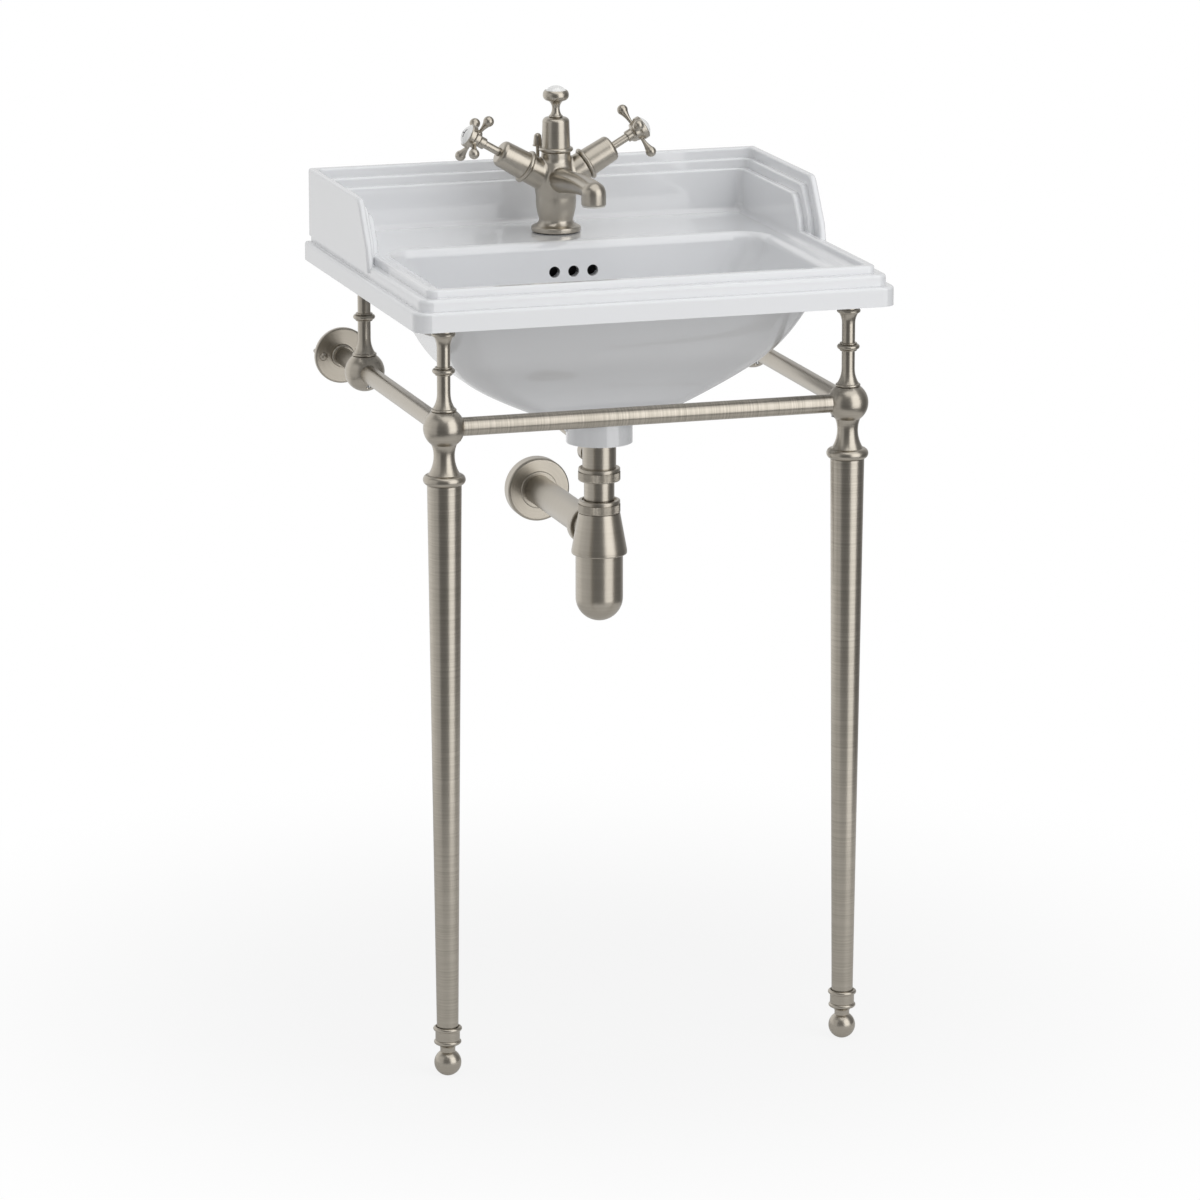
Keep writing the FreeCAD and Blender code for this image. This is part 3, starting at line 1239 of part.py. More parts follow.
def centre_finial():
    """Fixed finial on the centre bonnet, with a shank down into the tap's neck."""
    shank_low = -BONNET_L - FINIAL_SHANK_BITE + TUBE_GAP
    profile = Lathe(shank_low).line(FINIAL_SHANK_D / 2, shank_low)
    profile.line(FINIAL_SHANK_D / 2, 0)
    profile.roll(FINIAL_FOOT_D / 2, FINIAL_FOOT_H)
    profile.waist(FINIAL_WAIST_D / 2, FINIAL_WAIST_H, FINIAL_THROAT_D / 2, FINIAL_THROAT_H)
    profile.curve(FINIAL_BULB_D / 2, FINIAL_BULB_H, FINIAL_BULB_SHARE)
    profile.curve(FINIAL_RIM_D / 2, FINIAL_H, FINIAL_BULB_SHARE / 2)
    seat = Part.makeCylinder(CENTRE_BUTTON_D / 2 + BUTTON_GAP, FINIAL_H)
    seat.translate(UP * (FINIAL_H - BUTTON_SEAT_H))
    return moved(profile.solid().cut(seat), Vector(0, TAP_Y, FINIAL_FLOOR_Z))


def centre_button():
    """Porcelain button in the finial."""
    piece = button(FINIAL_H - BUTTON_SEAT_H, CENTRE_BUTTON_D)
    return moved(piece, Vector(0, TAP_Y, FINIAL_FLOOR_Z))


# Pop-up waste

def lift_rod():
    """Cranked rod from the link clamp up behind the tap's column, then aside and up to the knob."""
    rod_r = LIFT_ROD_D / 2
    elbow = LIFT_SPOT + UP * CRANK_Z
    bend = KNOB_SPOT + UP * CRANK_Z
    legs = [
        rod(rod_r, elbow, bend),
        rod(rod_r, bend, KNOB_SPOT + UP * (LIFT_KNOB_Z + LIFT_KNOB_BITE)),
        Part.makeSphere(LIFT_ELBOW_D / 2, elbow),
        Part.makeSphere(LIFT_ELBOW_D / 2, bend),
    ]
    return fused(rod(rod_r, LIFT_SPOT + UP * LINK_GRIP_Z, elbow), *legs)


def lift_knob():
    """Thimble-shaped knob on the lift rod."""
    profile = Lathe()
    for radius_share, height_share in zip(LIFT_KNOB_RADIUS_SHARES, LIFT_KNOB_HEIGHT_SHARES):
        profile.line(LIFT_KNOB_D / 2 * radius_share, LIFT_KNOB_H * height_share)
    profile.dome(LIFT_KNOB_H - profile.pen.z)
    bore = Part.makeCylinder(LIFT_ROD_D / 2 + LINK_GAP, LIFT_KNOB_BITE + LINK_GAP)
    return moved(profile.solid().cut(bore), KNOB_SPOT + UP * LIFT_KNOB_Z)


def link_clamp():
    """Clamp on the foot of the lift rod, with a slot under it that the lever passes through."""
    top_z = LINK_GRIP_Z + LINK_GRIP
    middle = LIFT_SPOT + UP * LINK_Z
    reach = Vector(LINK_SLOT_W / 2, LINK_T, LINK_SLOT_H / 2)
    low = middle - Vector(LINK_W / 2, LINK_T / 2, LINK_SLOT_H / 2 + LINK_WEB)
    block = slab(low, LIFT_SPOT + Vector(LINK_W / 2, LINK_T / 2, top_z))
    face = link_screw_face()
    cuts = [
        slab(middle - reach, middle + reach),
        rod(LIFT_ROD_D / 2 + LINK_GAP, LIFT_SPOT + UP * LINK_GRIP_Z, LIFT_SPOT + UP * (top_z + OVERRUN)),
        rod(LINK_SCREW_D / 2 + LINK_GAP, face - Vector(OVERRUN, 0, 0), link_screw_tip()),
    ]
    return block.cut(cuts)


def link_screw_face():
    """Place where the clamp's screw enters its side."""
    return LIFT_SPOT + Vector(-LINK_W / 2, 0, LINK_GRIP_Z + LINK_GRIP / 2)


def link_screw_tip():
    """End of the clamp's screw, against the lift rod."""
    return LIFT_SPOT + Vector(-LIFT_ROD_D / 2, 0, LINK_GRIP_Z + LINK_GRIP / 2)


def link_screw():
    """Thumb screw that grips the lift rod in the clamp."""
    face = link_screw_face()
    shank = rod(LINK_SCREW_D / 2, link_screw_tip(), face)
    head = rod(LINK_SCREW_HEAD_D / 2, face, face - Vector(LINK_SCREW_HEAD_H, 0, 0))
    return fused(shank, head)


def pivot_lever():
    """Ball lever: its nose under the plug, its tail through the link clamp."""
    way = Vector(0, math.cos(math.radians(LEVER_TILT)), math.sin(math.radians(LEVER_TILT)))
    nose = PIVOT - way * (LEVER_INNER_L + LEVER_NOSE)
    tail = PIVOT + way * (LEVER_OUTER_L + LEVER_TAIL_L)
    return fused(rod(LEVER_D / 2, nose, tail), Part.makeSphere(LEVER_BALL_D / 2, PIVOT))


def pivot_seat():
    """Nylon seat that the lever's ball turns in."""
    back = Vector(0, PIVOT_SEAT_L / 2, 0)
    ring = rod(PORT_BORE_D / 2 - PIVOT_GAP, PIVOT - back, PIVOT + back)
    socket = Part.makeSphere(LEVER_BALL_D / 2 + PIVOT_GAP, PIVOT)
    mouth_r = PIVOT_SEAT_MOUTH_D / 2
    flare_l = PIVOT_SEAT_L / 2 + TOUCH
    flares = [Part.makeCone(LEVER_D / 2, mouth_r, flare_l, PIVOT, way) for way in (TO_FRONT, TO_WALL)]
    return ring.cut([socket] + flares)


def pivot_nut():
    """Nut on the side port that keeps the ball in its seat."""
    end = Vector(0, WASTE_Y + PORT_L, PORT_Z)
    low = end - TO_WALL * (PIVOT_NUT_L - PIVOT_NUT_LIP)
    high = end + TO_WALL * PIVOT_NUT_LIP
    body = rod(PIVOT_NUT_D / 2, low, high)
    thread = rod(PORT_D / 2 + TRAP_FIT_GAP, low - TO_WALL * OVERRUN, end)
    mouth = rod(PIVOT_NUT_MOUTH_D / 2, end - TO_WALL * OVERRUN, high + TO_WALL * OVERRUN)
    return body.cut([thread, mouth])


def popup_plug():
    """Domed plug, raised at rest, on a stem with cross fins that stands over the lever."""
    plug_r = PLUG_D / 2
    profile = Lathe(PLUG_Z).line(plug_r, PLUG_Z)
    profile.line(plug_r, PLUG_Z + PLUG_EDGE_H)
    profile.dome(PLUG_DOME_H)
    tilt = math.radians(LEVER_TILT)
    stem_r = PLUG_STEM_D / 2
    lift = (LEVER_D / 2 + stem_r + PLUG_LEVER_GAP - LEVER_INNER_L * math.sin(tilt)) / math.cos(tilt)
    stem_end = Vector(0, 0, PIVOT.z + lift)
    stem = fused(rod(stem_r, stem_end, Vector(0, 0, PLUG_Z)), Part.makeSphere(stem_r, stem_end))
    fin_top = PLUG_Z - PLUG_FIN_GAP
    fins = []
    for x, y in ((PLUG_FIN_D, PLUG_FIN_T), (PLUG_FIN_T, PLUG_FIN_D)):
        fins.append(slab(Vector(-x / 2, -y / 2, fin_top - PLUG_FIN_L), Vector(x / 2, y / 2, fin_top)))
    return moved(fused(profile.solid(), stem, *fins), Vector(0, WASTE_Y, 0))


def plug_seal():
    """Rubber ring under the plug's head."""
    low = Vector(0, WASTE_Y, PLUG_Z - PLUG_SEAL_T)
    return tube(PLUG_SEAL_D / 2, PLUG_STEM_D / 2, low, low + UP * PLUG_SEAL_T)


def waste_body():
    """Waste: flange in the bowl, threaded neck through the china, tail with the lever's side port."""
    axis = Vector(0, WASTE_Y, 0)
    thread_low = RECESS_ROOF_Z - OUTLET_RECESS_H
    profile = Lathe(WASTE_TAIL_Z).line(WASTE_TAIL_D / 2, WASTE_TAIL_Z)
    profile.line(WASTE_TAIL_D / 2, thread_low)
    profile.line(WASTE_THREAD_D / 2, thread_low)
    profile.line(WASTE_THREAD_D / 2, WASTE_SEAT_Z)
    profile.line(WASTE_FLANGE_D / 2, WASTE_SEAT_Z)
    profile.line(WASTE_FLANGE_D / 2, WASTE_SEAT_Z + WASTE_FLANGE_T / 2)
    profile.line(WASTE_FLANGE_D / 2 - WASTE_FLANGE_T / 2, PLUG_SEAT_Z)
    port_start = Vector(0, WASTE_Y, PORT_Z)
    port_end = port_start + Vector(0, PORT_L, 0)
    body = fused(moved(profile.solid(), axis), rod(PORT_D / 2, port_start, port_end))
    slot_z = SHELL_FLOOR_Z - DUCT_DEPTH / 2
    slot_low = Vector(-WASTE_SLOT_W / 2, WASTE_Y, slot_z - WASTE_SLOT_H / 2)
    slot_high = Vector(WASTE_SLOT_W / 2, WASTE_Y + WASTE_THREAD_D, slot_z + WASTE_SLOT_H / 2)
    cuts = [
        rod(WASTE_BORE_D / 2, axis + UP * thread_low, axis + UP * (PLUG_SEAT_Z + OVERRUN)),
        rod(WASTE_TAIL_BORE_D / 2, axis + UP * (WASTE_TAIL_Z - OVERRUN), axis + UP * (thread_low + OVERRUN)),
        rod(PORT_BORE_D / 2, port_start, port_end + Vector(0, OVERRUN, 0)),
        slab(slot_low, slot_high),
    ]
    return body.cut(cuts)


def waste_lower_seal():
    """Rubber washer between the outlet boss and the back nut."""
    high = Vector(0, WASTE_Y, RECESS_ROOF_Z)
    return tube(BACK_NUT_D / 2, WASTE_THREAD_D / 2 + WASTE_SEAL_GAP, high - UP * WASTE_SEAL_T, high)


def back_nut():
    """Notched back nut inside the outlet boss."""
    high = Vector(0, WASTE_Y, RECESS_ROOF_Z - WASTE_SEAL_T)
    low = high - UP * BACK_NUT_H
    ring = tube(BACK_NUT_D / 2, WASTE_THREAD_D / 2 + BACK_NUT_GAP, low, high)
    notches = []
    for index in range(BACK_NUT_NOTCHES):
        angle = math.radians(index * 360 / BACK_NUT_NOTCHES)
        spot = Vector(math.cos(angle), math.sin(angle), 0) * (BACK_NUT_D / 2 + BACK_NUT_NOTCH_D / 4)
        notches.append(rod(BACK_NUT_NOTCH_D / 2, low + spot - UP * OVERRUN, high + spot + UP * OVERRUN))
    return ring.cut(notches)


# Bottle trap

def trap_nut(foot, way, thread_d, lip_at_foot=False):
    """Union nut with a lip, a groove and a plain band, open towards way, dished round its pipe."""
    nut_r = TRAP_NUT_D / 2
    groove_r = nut_r - TRAP_NUT_GROOVE
    lip_z = TRAP_NUT_H - TRAP_NUT_LIP_H
    profile = Lathe().line(nut_r - TRAP_NUT_ROUND, 0)
    profile.curve(nut_r, TRAP_NUT_ROUND, RIM_BULGE_SHARE)
    profile.line(nut_r, lip_z - TRAP_NUT_GROOVE_H)
    profile.line(groove_r, lip_z - TRAP_NUT_GROOVE_H)
    profile.line(groove_r, lip_z)
    profile.line(nut_r, lip_z)
    profile.line(nut_r, TRAP_NUT_H - TRAP_NUT_ROUND)
    profile.curve(nut_r - TRAP_NUT_ROUND, TRAP_NUT_H, RIM_BULGE_SHARE)
    thread_low = TRAP_NUT_H - TRAP_NUT_OVERLAP - TRAP_SEAL_H
    thread = Part.makeCylinder(thread_d / 2 + TRAP_FIT_GAP, TRAP_NUT_H)
    hole = Part.makeCylinder(TRAP_PIPE_D / 2 + TRAP_FIT_GAP, TRAP_NUT_H)
    dish = Part.makeCylinder(TRAP_NUT_DISH_D / 2, TRAP_NUT_DISH)
    blank = profile.solid()
    if lip_at_foot:
        blank = blank.mirror(UP * (TRAP_NUT_H / 2), UP)
    return aimed(blank.cut([moved(thread, UP * thread_low), hole, dish]), foot, way)


def trap_seal(foot, way, thread_d):
    """Rubber ring inside a union nut, round the pipe."""
    low = UP * (TRAP_NUT_H - TRAP_NUT_OVERLAP - TRAP_SEAL_H)
    ring = tube(thread_d / 2, TRAP_PIPE_D / 2 + TRAP_FIT_GAP, low, low + UP * TRAP_SEAL_H)
    return aimed(ring, foot, way)


def trap_inlet_pipe():
    """Pipe from inside the waste tail down into the cup, where its end keeps the water seal."""
    pipe_r = TRAP_PIPE_D / 2
    low = Vector(0, WASTE_Y, CUP_CENTRE_Z - TRAP_CUP_D / 2 + TRAP_DIP_GAP)
    return tube(pipe_r, pipe_r - TRAP_PIPE_WALL, low, Vector(0, WASTE_Y, TRAP_PIPE_TOP_Z))


def trap_body():
    """Cone-shaped trap body with a threaded neck, a side outlet and an open foot for the cup."""
    neck_top = LOWER_NUT_Z + TRAP_NUT_OVERLAP
    hem_r = TRAP_BODY_D / 2
    profile = Lathe(TRAP_BODY_Z).line(hem_r - TRAP_NUT_ROUND, TRAP_BODY_Z)
    profile.curve(hem_r, TRAP_BODY_Z + TRAP_NUT_ROUND, RIM_BULGE_SHARE)
    profile.line(hem_r, TRAP_BODY_Z + TRAP_BODY_HEM_H)
    profile.line(TRAP_BODY_TOP_D / 2, LOWER_NUT_Z)
    profile.line(TRAP_NECK_D / 2, LOWER_NUT_Z)
    profile.line(TRAP_NECK_D / 2, neck_top)
    start = Vector(0, WASTE_Y, TRAP_OUTLET_Z)
    end = start + Vector(0, TRAP_OUTLET_NECK_L, 0)
    shell = fused(moved(profile.solid(), Vector(0, WASTE_Y, 0)), rod(TRAP_NECK_D / 2, start, end))
    axis = Vector(0, WASTE_Y, 0)
    cup_r = TRAP_CUP_D / 2 + TRAP_FIT_GAP
    chamber = Lathe(TRAP_BODY_Z - OVERRUN).line(cup_r, TRAP_BODY_Z - OVERRUN)
    chamber.line(cup_r, TRAP_BODY_Z + TRAP_CUP_BITE + TRAP_SEAL_H)
    chamber.line(TRAP_BODY_TOP_D / 2 - TRAP_BODY_WALL, LOWER_NUT_Z - TRAP_BODY_WALL)
    pipe_r = TRAP_PIPE_D / 2 + TRAP_FIT_GAP
    cuts = [
        moved(chamber.solid(), axis),
        rod(pipe_r, axis + UP * TRAP_BODY_Z, axis + UP * (neck_top + OVERRUN)),
        rod(pipe_r - TRAP_PIPE_WALL, start + Vector(0, TRAP_PIPE_D / 2, 0), end),
        rod(pipe_r, end - Vector(0, TRAP_OUTLET_OVERLAP, 0), end + Vector(0, OVERRUN, 0)),
    ]
    return shell.cut(cuts)


def cup_profile(radius, top_z, drop):
    """Round-bottomed cup shape about the waste axis."""
    low = radius * math.sin(math.radians(45))
    profile = Lathe(CUP_CENTRE_Z - radius)
    profile.arc(low, CUP_CENTRE_Z - low, radius, CUP_CENTRE_Z)
    profile.line(radius, top_z + drop)
    return moved(profile.solid(), Vector(0, WASTE_Y, 0))


def trap_cup():
    """Cup that unscrews from the trap body for cleaning."""
    top = TRAP_BODY_Z + TRAP_CUP_BITE
    outer = cup_profile(TRAP_CUP_D / 2, top, 0)
    return outer.cut(cup_profile(TRAP_CUP_D / 2 - TRAP_CUP_WALL, top, OVERRUN))


def cup_seal():
    """Rubber ring between the cup's lip and the trap body."""
    low = Vector(0, WASTE_Y, TRAP_BODY_Z + TRAP_CUP_BITE)
    return tube(TRAP_CUP_D / 2, TRAP_CUP_D / 2 - TRAP_CUP_WALL, low, low + UP * TRAP_SEAL_H)


def outlet_pipe():
    """Pipe from the trap's outlet through the wall, turned down to a spigot behind it."""
    pipe_r = TRAP_PIPE_D / 2
    bore_r = pipe_r - TRAP_PIPE_WALL
    start = Vector(0, WASTE_Y + TRAP_OUTLET_NECK_L - TRAP_OUTLET_OVERLAP, TRAP_OUTLET_Z)
    shoulder = Vector(0, WALL_Y + DRAIN_SPIGOT_OUT, TRAP_OUTLET_Z)
    end = Vector(0, WALL_Y + WALL_BITE, TRAP_OUTLET_Z)
    return fused(tube(pipe_r, bore_r, start, shoulder), tube(DRAIN_SPIGOT_D / 2, bore_r, shoulder, end))


def trap_wall_flange():
    """Dished cover round the outlet pipe, against the wall."""
    flange_r = TRAP_FLANGE_D / 2
    collar_r = TRAP_FLANGE_COLLAR_D / 2
    face = TRAP_FLANGE_L - TRAP_FLANGE_ROUND / 2
    profile = Lathe().line(flange_r, 0)
    profile.line(flange_r, face - TRAP_FLANGE_ROUND)
    profile.curve(flange_r - TRAP_FLANGE_ROUND, face, RIM_BULGE_SHARE)
    profile.line(collar_r, face)
    profile.curve(collar_r - TRAP_FLANGE_ROUND / 2, TRAP_FLANGE_L, RIM_BULGE_SHARE)
    hollow = Part.makeCylinder(flange_r - TRAP_FLANGE_WALL, face - TRAP_FLANGE_ROUND)
    hole = Part.makeCylinder(TRAP_PIPE_D / 2 + TRAP_FIT_GAP, TRAP_FLANGE_L + OVERRUN)
    return aimed(profile.solid().cut([hollow, hole]), Vector(0, WALL_Y, TRAP_OUTLET_Z), TO_FRONT)


def stand_parts():
    """Every piece of the stand."""
    foot = leg_foot()
    leg = leg_tube()
    post = upper_post()
    ball = rear_knuckle()
    front = {name: Vector(side * LEG_X, LEG_Y, BALL_Z) for name, side in SIDES}
    rear = {name: Vector(side * LEG_X, POST_Y, BALL_Z) for name, side in SIDES}
    pieces = {
        "front_rail": rail(front["left"], front["right"]),
        "leg_feet": group(moved(foot, Vector(side * LEG_X, LEG_Y, 0)) for name, side in SIDES),
        "upper_posts": group(moved(post, spot) for spot in post_spots()),
        "rear_knuckles": group(moved(ball, Vector(side * LEG_X, POST_Y, 0)) for name, side in SIDES),
        "wall_spigots": group(wall_spigot(side) for name, side in SIDES),
        "wall_flanges": group(wall_flange(side) for name, side in SIDES),
        "post_studs": post_studs(),
        "post_pads": post_pads(),
        "rail_grub_screws": grub_screws(),
        "wall_screws": wall_screws(),
    }
    for name, side in SIDES:
        front_spot = Vector(side * LEG_X, LEG_Y, 0)
        pieces[name + "_leg_tube"] = moved(leg, front_spot)
        pieces[name + "_front_knuckle"] = moved(front_knuckle(side), front_spot)
        pieces[name + "_side_rail"] = rail(front[name], rear[name])
    return pieces


def tap_parts():
    """Every piece of the tap."""
    pieces = {
        "tap_body": tap_body(),
        "spout_aerator": spout_aerator(),
        "tap_base_gasket": tap_gasket(),
        "tap_clamp_washer": half_moon(DECK_UNDER_Z, CLAMP_WASHER_T),
        "tap_clamp_plate": half_moon(CLAMP_PLATE_Z, CLAMP_PLATE_T),
        "tap_clamp_stud": clamp_stud(),
        "tap_clamp_nut": clamp_nut(),
        "valve_cartridges": group(cartridge(side) for name, side in SIDES),
        "centre_bonnet": centre_bonnet(),
        "centre_finial": centre_finial(),
        "centre_button": centre_button(),
    }
    for name, side, turn in (("hot", -1, HOT_HANDLE_TURN), ("cold", 1, COLD_HANDLE_TURN)):
        pieces[name + "_bonnet"] = side_bonnet(side)
        pieces[name + "_spindle"] = spindle(side)
        pieces[name + "_handle"] = cross_handle(side, turn)
        pieces[name + "_handle_screw"] = handle_screw(side)
        pieces[name + "_button"] = on_arm(button(BUTTON_SEAT, BUTTON_D), side)
    return pieces


def waste_parts():
    """Every piece of the pop-up waste and of the trap."""
    return {
        "lift_rod": lift_rod(),
        "lift_knob": lift_knob(),
        "link_clamp": link_clamp(),
        "link_screw": link_screw(),
        "pivot_lever": pivot_lever(),
        "pivot_seat": pivot_seat(),
        "pivot_nut": pivot_nut(),
        "popup_plug": popup_plug(),
        "plug_seal": plug_seal(),
        "waste_body": waste_body(),
        "waste_lower_seal": waste_lower_seal(),
        "waste_back_nut": back_nut(),
        "trap_inlet_nut": trap_nut(INLET_NUT_SPOT, UP, WASTE_TAIL_D),
        "trap_inlet_pipe": trap_inlet_pipe(),
        "trap_lower_nut": trap_nut(LOWER_NUT_SPOT, DOWN, TRAP_NECK_D, True),
        "trap_body": trap_body(),
        "trap_cup": trap_cup(),
        "trap_outlet_nut": trap_nut(OUTLET_NUT_SPOT, TO_FRONT, TRAP_NECK_D),
        "trap_outlet_pipe": outlet_pipe(),
        "trap_wall_flange": trap_wall_flange(),
        "trap_seals": group([
            trap_seal(INLET_NUT_SPOT, UP, WASTE_TAIL_D),
            trap_seal(LOWER_NUT_SPOT, DOWN, TRAP_NECK_D),
            trap_seal(OUTLET_NUT_SPOT, TO_FRONT, TRAP_NECK_D),
            cup_seal(),
        ]),
    }


PARTS = {"basin": basin()}
PARTS.update(stand_parts())
PARTS.update(tap_parts())
PARTS.update(waste_parts())

os.makedirs("parts", exist_ok=True)
for node, shape in PARTS.items():
    if not shape.isValid():
        print("not valid:", node)
    shape.exportStep("parts/%s.step" % node)
print(len(PARTS), "nodes")
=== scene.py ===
"""Looks of the console sink: finishes, cast blends, knurls, marks, light and camera."""

import json
import math

import bmesh
import bpy
from mathutils import Matrix, Vector
from mathutils.bvhtree import BVHTree


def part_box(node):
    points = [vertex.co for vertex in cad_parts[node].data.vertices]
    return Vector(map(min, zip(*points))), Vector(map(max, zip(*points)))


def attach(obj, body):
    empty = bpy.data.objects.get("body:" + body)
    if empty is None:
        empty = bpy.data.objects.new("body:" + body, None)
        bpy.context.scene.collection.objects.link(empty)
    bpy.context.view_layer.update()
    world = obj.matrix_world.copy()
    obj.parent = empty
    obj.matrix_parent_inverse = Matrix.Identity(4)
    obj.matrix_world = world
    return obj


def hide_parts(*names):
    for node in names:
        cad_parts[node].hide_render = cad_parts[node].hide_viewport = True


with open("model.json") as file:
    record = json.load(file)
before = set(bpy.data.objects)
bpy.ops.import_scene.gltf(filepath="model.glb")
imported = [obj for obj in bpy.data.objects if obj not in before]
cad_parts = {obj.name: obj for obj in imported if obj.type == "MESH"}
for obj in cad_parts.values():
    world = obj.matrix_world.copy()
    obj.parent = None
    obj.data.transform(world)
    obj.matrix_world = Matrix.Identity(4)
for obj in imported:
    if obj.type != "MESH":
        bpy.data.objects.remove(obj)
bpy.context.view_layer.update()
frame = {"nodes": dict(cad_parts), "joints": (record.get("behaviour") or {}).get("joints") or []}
NODES = frame["nodes"]
JOINTS = {joint["name"]: joint for joint in frame["joints"]}

MM = 0.001
ALONG_X = Vector((1, 0, 0))
ALONG_Y = Vector((0, 1, 0))
ALONG_Z = Vector((0, 0, 1))


def middle(node):
    """Centre of a solid's box."""
    low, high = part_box(node)
    return (low + high) / 2


# Places read from the solids
LEG = middle("right_leg_tube")
REAR_BALL_Y = middle("rear_knuckles").y
POST_ROW_Y = (LEG.y + REAR_BALL_Y) / 2
POST_ROW_HALF = (REAR_BALL_Y - LEG.y) / 2
RAIL = middle("front_rail")
SIDE_RAIL = middle("right_side_rail")
TAP_AXIS = middle("centre_bonnet")
TAP_TURN = Vector(JOINTS["hot_handle_turn"]["pos_m"])
WASTE = middle("trap_cup")
OUTLET = middle("trap_outlet_pipe")
ARM_LEAN = math.radians(30)
TAP_ARMS = {
    "hot": Vector((-math.cos(ARM_LEAN), 0, math.sin(ARM_LEAN))),
    "cold": Vector((math.cos(ARM_LEAN), 0, math.sin(ARM_LEAN))),
}

# Colours
GLAZE_WHITE = (0.84, 0.85, 0.87, 1)
GLAZE_SHADE = (0.82, 0.83, 0.845, 1)
PORCELAIN_WHITE = (0.92, 0.92, 0.91, 1)
PORCELAIN_SHADE = (0.89, 0.89, 0.875, 1)
NICKEL_PALE = (0.5, 0.462, 0.4, 1)
NICKEL_DEEP = (0.44, 0.403, 0.343, 1)
LINE_PALE = (0.55, 0.51, 0.443, 1)
LINE_DEEP = (0.4, 0.366, 0.31, 1)
RAIL_PALE = (0.6, 0.556, 0.485, 1)
RAIL_DEEP = (0.33, 0.3, 0.252, 1)
# Painted shade: near-black paint for the hidden inside of the overflow duct, standing in for the shade
# there
DUCT_SHADE_PALE = (0.03, 0.029, 0.027, 1)
DUCT_SHADE_DEEP = (0.018, 0.017, 0.016, 1)
STEEL_PALE = (0.6, 0.6, 0.6, 1)
STEEL_DEEP = (0.46, 0.46, 0.46, 1)
NYLON_PALE = (0.7, 0.69, 0.65, 1)
NYLON_DEEP = (0.62, 0.61, 0.57, 1)
RUBBER_PALE = (0.035, 0.035, 0.036, 1)
RUBBER_DEEP = (0.018, 0.018, 0.019, 1)
INK = (0.02, 0.02, 0.022, 1)
INK_WORN = (0.05, 0.05, 0.055, 1)
FLOOR_GREY = (0.6, 0.6, 0.6, 1)
STUDIO_WHITE = (1, 1, 1, 1)


class Wire:
    """Shader socket that takes part in sums: each operator adds a Math node."""

    def __init__(self, shop, socket):
        self.shop = shop
        self.socket = socket

    def maths(self, operation, *others):
        values = dict(enumerate((self, *others)))
        return self.shop.add("ShaderNodeMath", {"operation": operation}, values)

    def __add__(self, other):
        return self.maths("ADD", other)

    def __sub__(self, other):
        return self.maths("SUBTRACT", other)

    def __rsub__(self, other):
        return self.shop.add("ShaderNodeMath", {"operation": "SUBTRACT"}, {0: other, 1: self})

    def __mul__(self, other):
        return self.maths("MULTIPLY", other)

    __radd__ = __add__
    __rmul__ = __mul__


class Shop:
    """Node tree of a material or of the world, with one way to add a node."""

    def __init__(self, tree):
        self.tree = tree
        tree.nodes.clear()

    def add(self, kind, settings=None, values=None, out=0):
        node = self.tree.nodes.new(kind)
        for name, setting in (settings or {}).items():
            setattr(node, name, setting)
        for name, value in (values or {}).items():
            if isinstance(value, Wire):
                self.tree.links.new(value.socket, node.inputs[name])
            else:
                node.inputs[name].default_value = value
        return Wire(self, node.outputs[out]) if node.outputs else node

    def vector(self, operation, first, second, out=0):
        return self.add("ShaderNodeVectorMath", {"operation": operation}, {0: first, 1: second}, out)

    def length(self, vector):
        return self.add("ShaderNodeVectorMath", {"operation": "LENGTH"}, {0: vector}, out="Value")

    def axes(self, vector):
        return [self.add("ShaderNodeSeparateXYZ", values={0: vector}, out=axis) for axis in "XYZ"]

    def noise(self, vector, scale, detail):
        values = {"Vector": vector, "Scale": scale, "Detail": detail}
        return self.add("ShaderNodeTexNoise", values=values)

    def spread(self, value, low, high):
        """Smooth step from 0 at low to 1 at high."""
        ends = {"Value": value, "From Min": low, "From Max": high}
        return self.add("ShaderNodeMapRange", {"interpolation_type": "SMOOTHSTEP"}, ends)

    def tint(self, factor, first, second):
        values = {"Factor": factor, "A": first, "B": second}
        return self.add("ShaderNodeMix", {"data_type": "RGBA"}, values, out=2)

    def bump(self, height, depth):
        return self.add("ShaderNodeBump", values={"Height": height, "Distance": depth, "Strength": 1.0})

    def rays(self):
        """Rays from the camera, and rays that gloss or glass sends on."""
        camera = self.add("ShaderNodeLightPath", out="Is Camera Ray")
        glossy = self.add("ShaderNodeLightPath", out="Is Glossy Ray")
        clear = self.add("ShaderNodeLightPath", out="Is Transmission Ray")
        return camera, glossy + clear


def new_finish(name):
    """Empty material, its shop and its Object coordinates."""
    material = bpy.data.materials.new(name)
    material.use_nodes = True
    shop = Shop(material.node_tree)
    place = shop.add("ShaderNodeTexCoord", out="Object")
    return material, shop, place


def surface(shop, **sockets):
    """Principled surface with named sockets, linked to the output."""
    values = {name.replace("_", " "): value for name, value in sockets.items()}
    shader = shop.add("ShaderNodeBsdfPrincipled", values=values)
    shop.add("ShaderNodeOutputMaterial", values={"Surface": shader})


# Finishes: pattern scales count per metre, and roughness swings about its mean
GLAZE_CLOUD = 9.0
GLAZE_RIPPLE = 38.0
GLAZE_RIPPLE_DEPTH = 0.03 * MM
GLAZE_ROUGH = 0.045
GLAZE_ROUGH_MORE = 0.05
GLAZE_COAT = 0.8
GLAZE_COAT_ROUGH = 0.03


def glaze(name, pale, deep):
    """Fired glaze: nearly even white, with faint clouds and a slow ripple in its gloss."""
    material, shop, place = new_finish(name)
    cloud = shop.noise(place, GLAZE_CLOUD, detail=3)
    ripple = shop.noise(place, GLAZE_RIPPLE, detail=1)
    surface(
        shop,
        Base_Color=shop.tint(cloud, pale, deep),
        Roughness=cloud * GLAZE_ROUGH_MORE + GLAZE_ROUGH,
        Normal=shop.bump(ripple, GLAZE_RIPPLE_DEPTH),
        Coat_Weight=GLAZE_COAT,
        Coat_Roughness=GLAZE_COAT_ROUGH,
    )
    return material


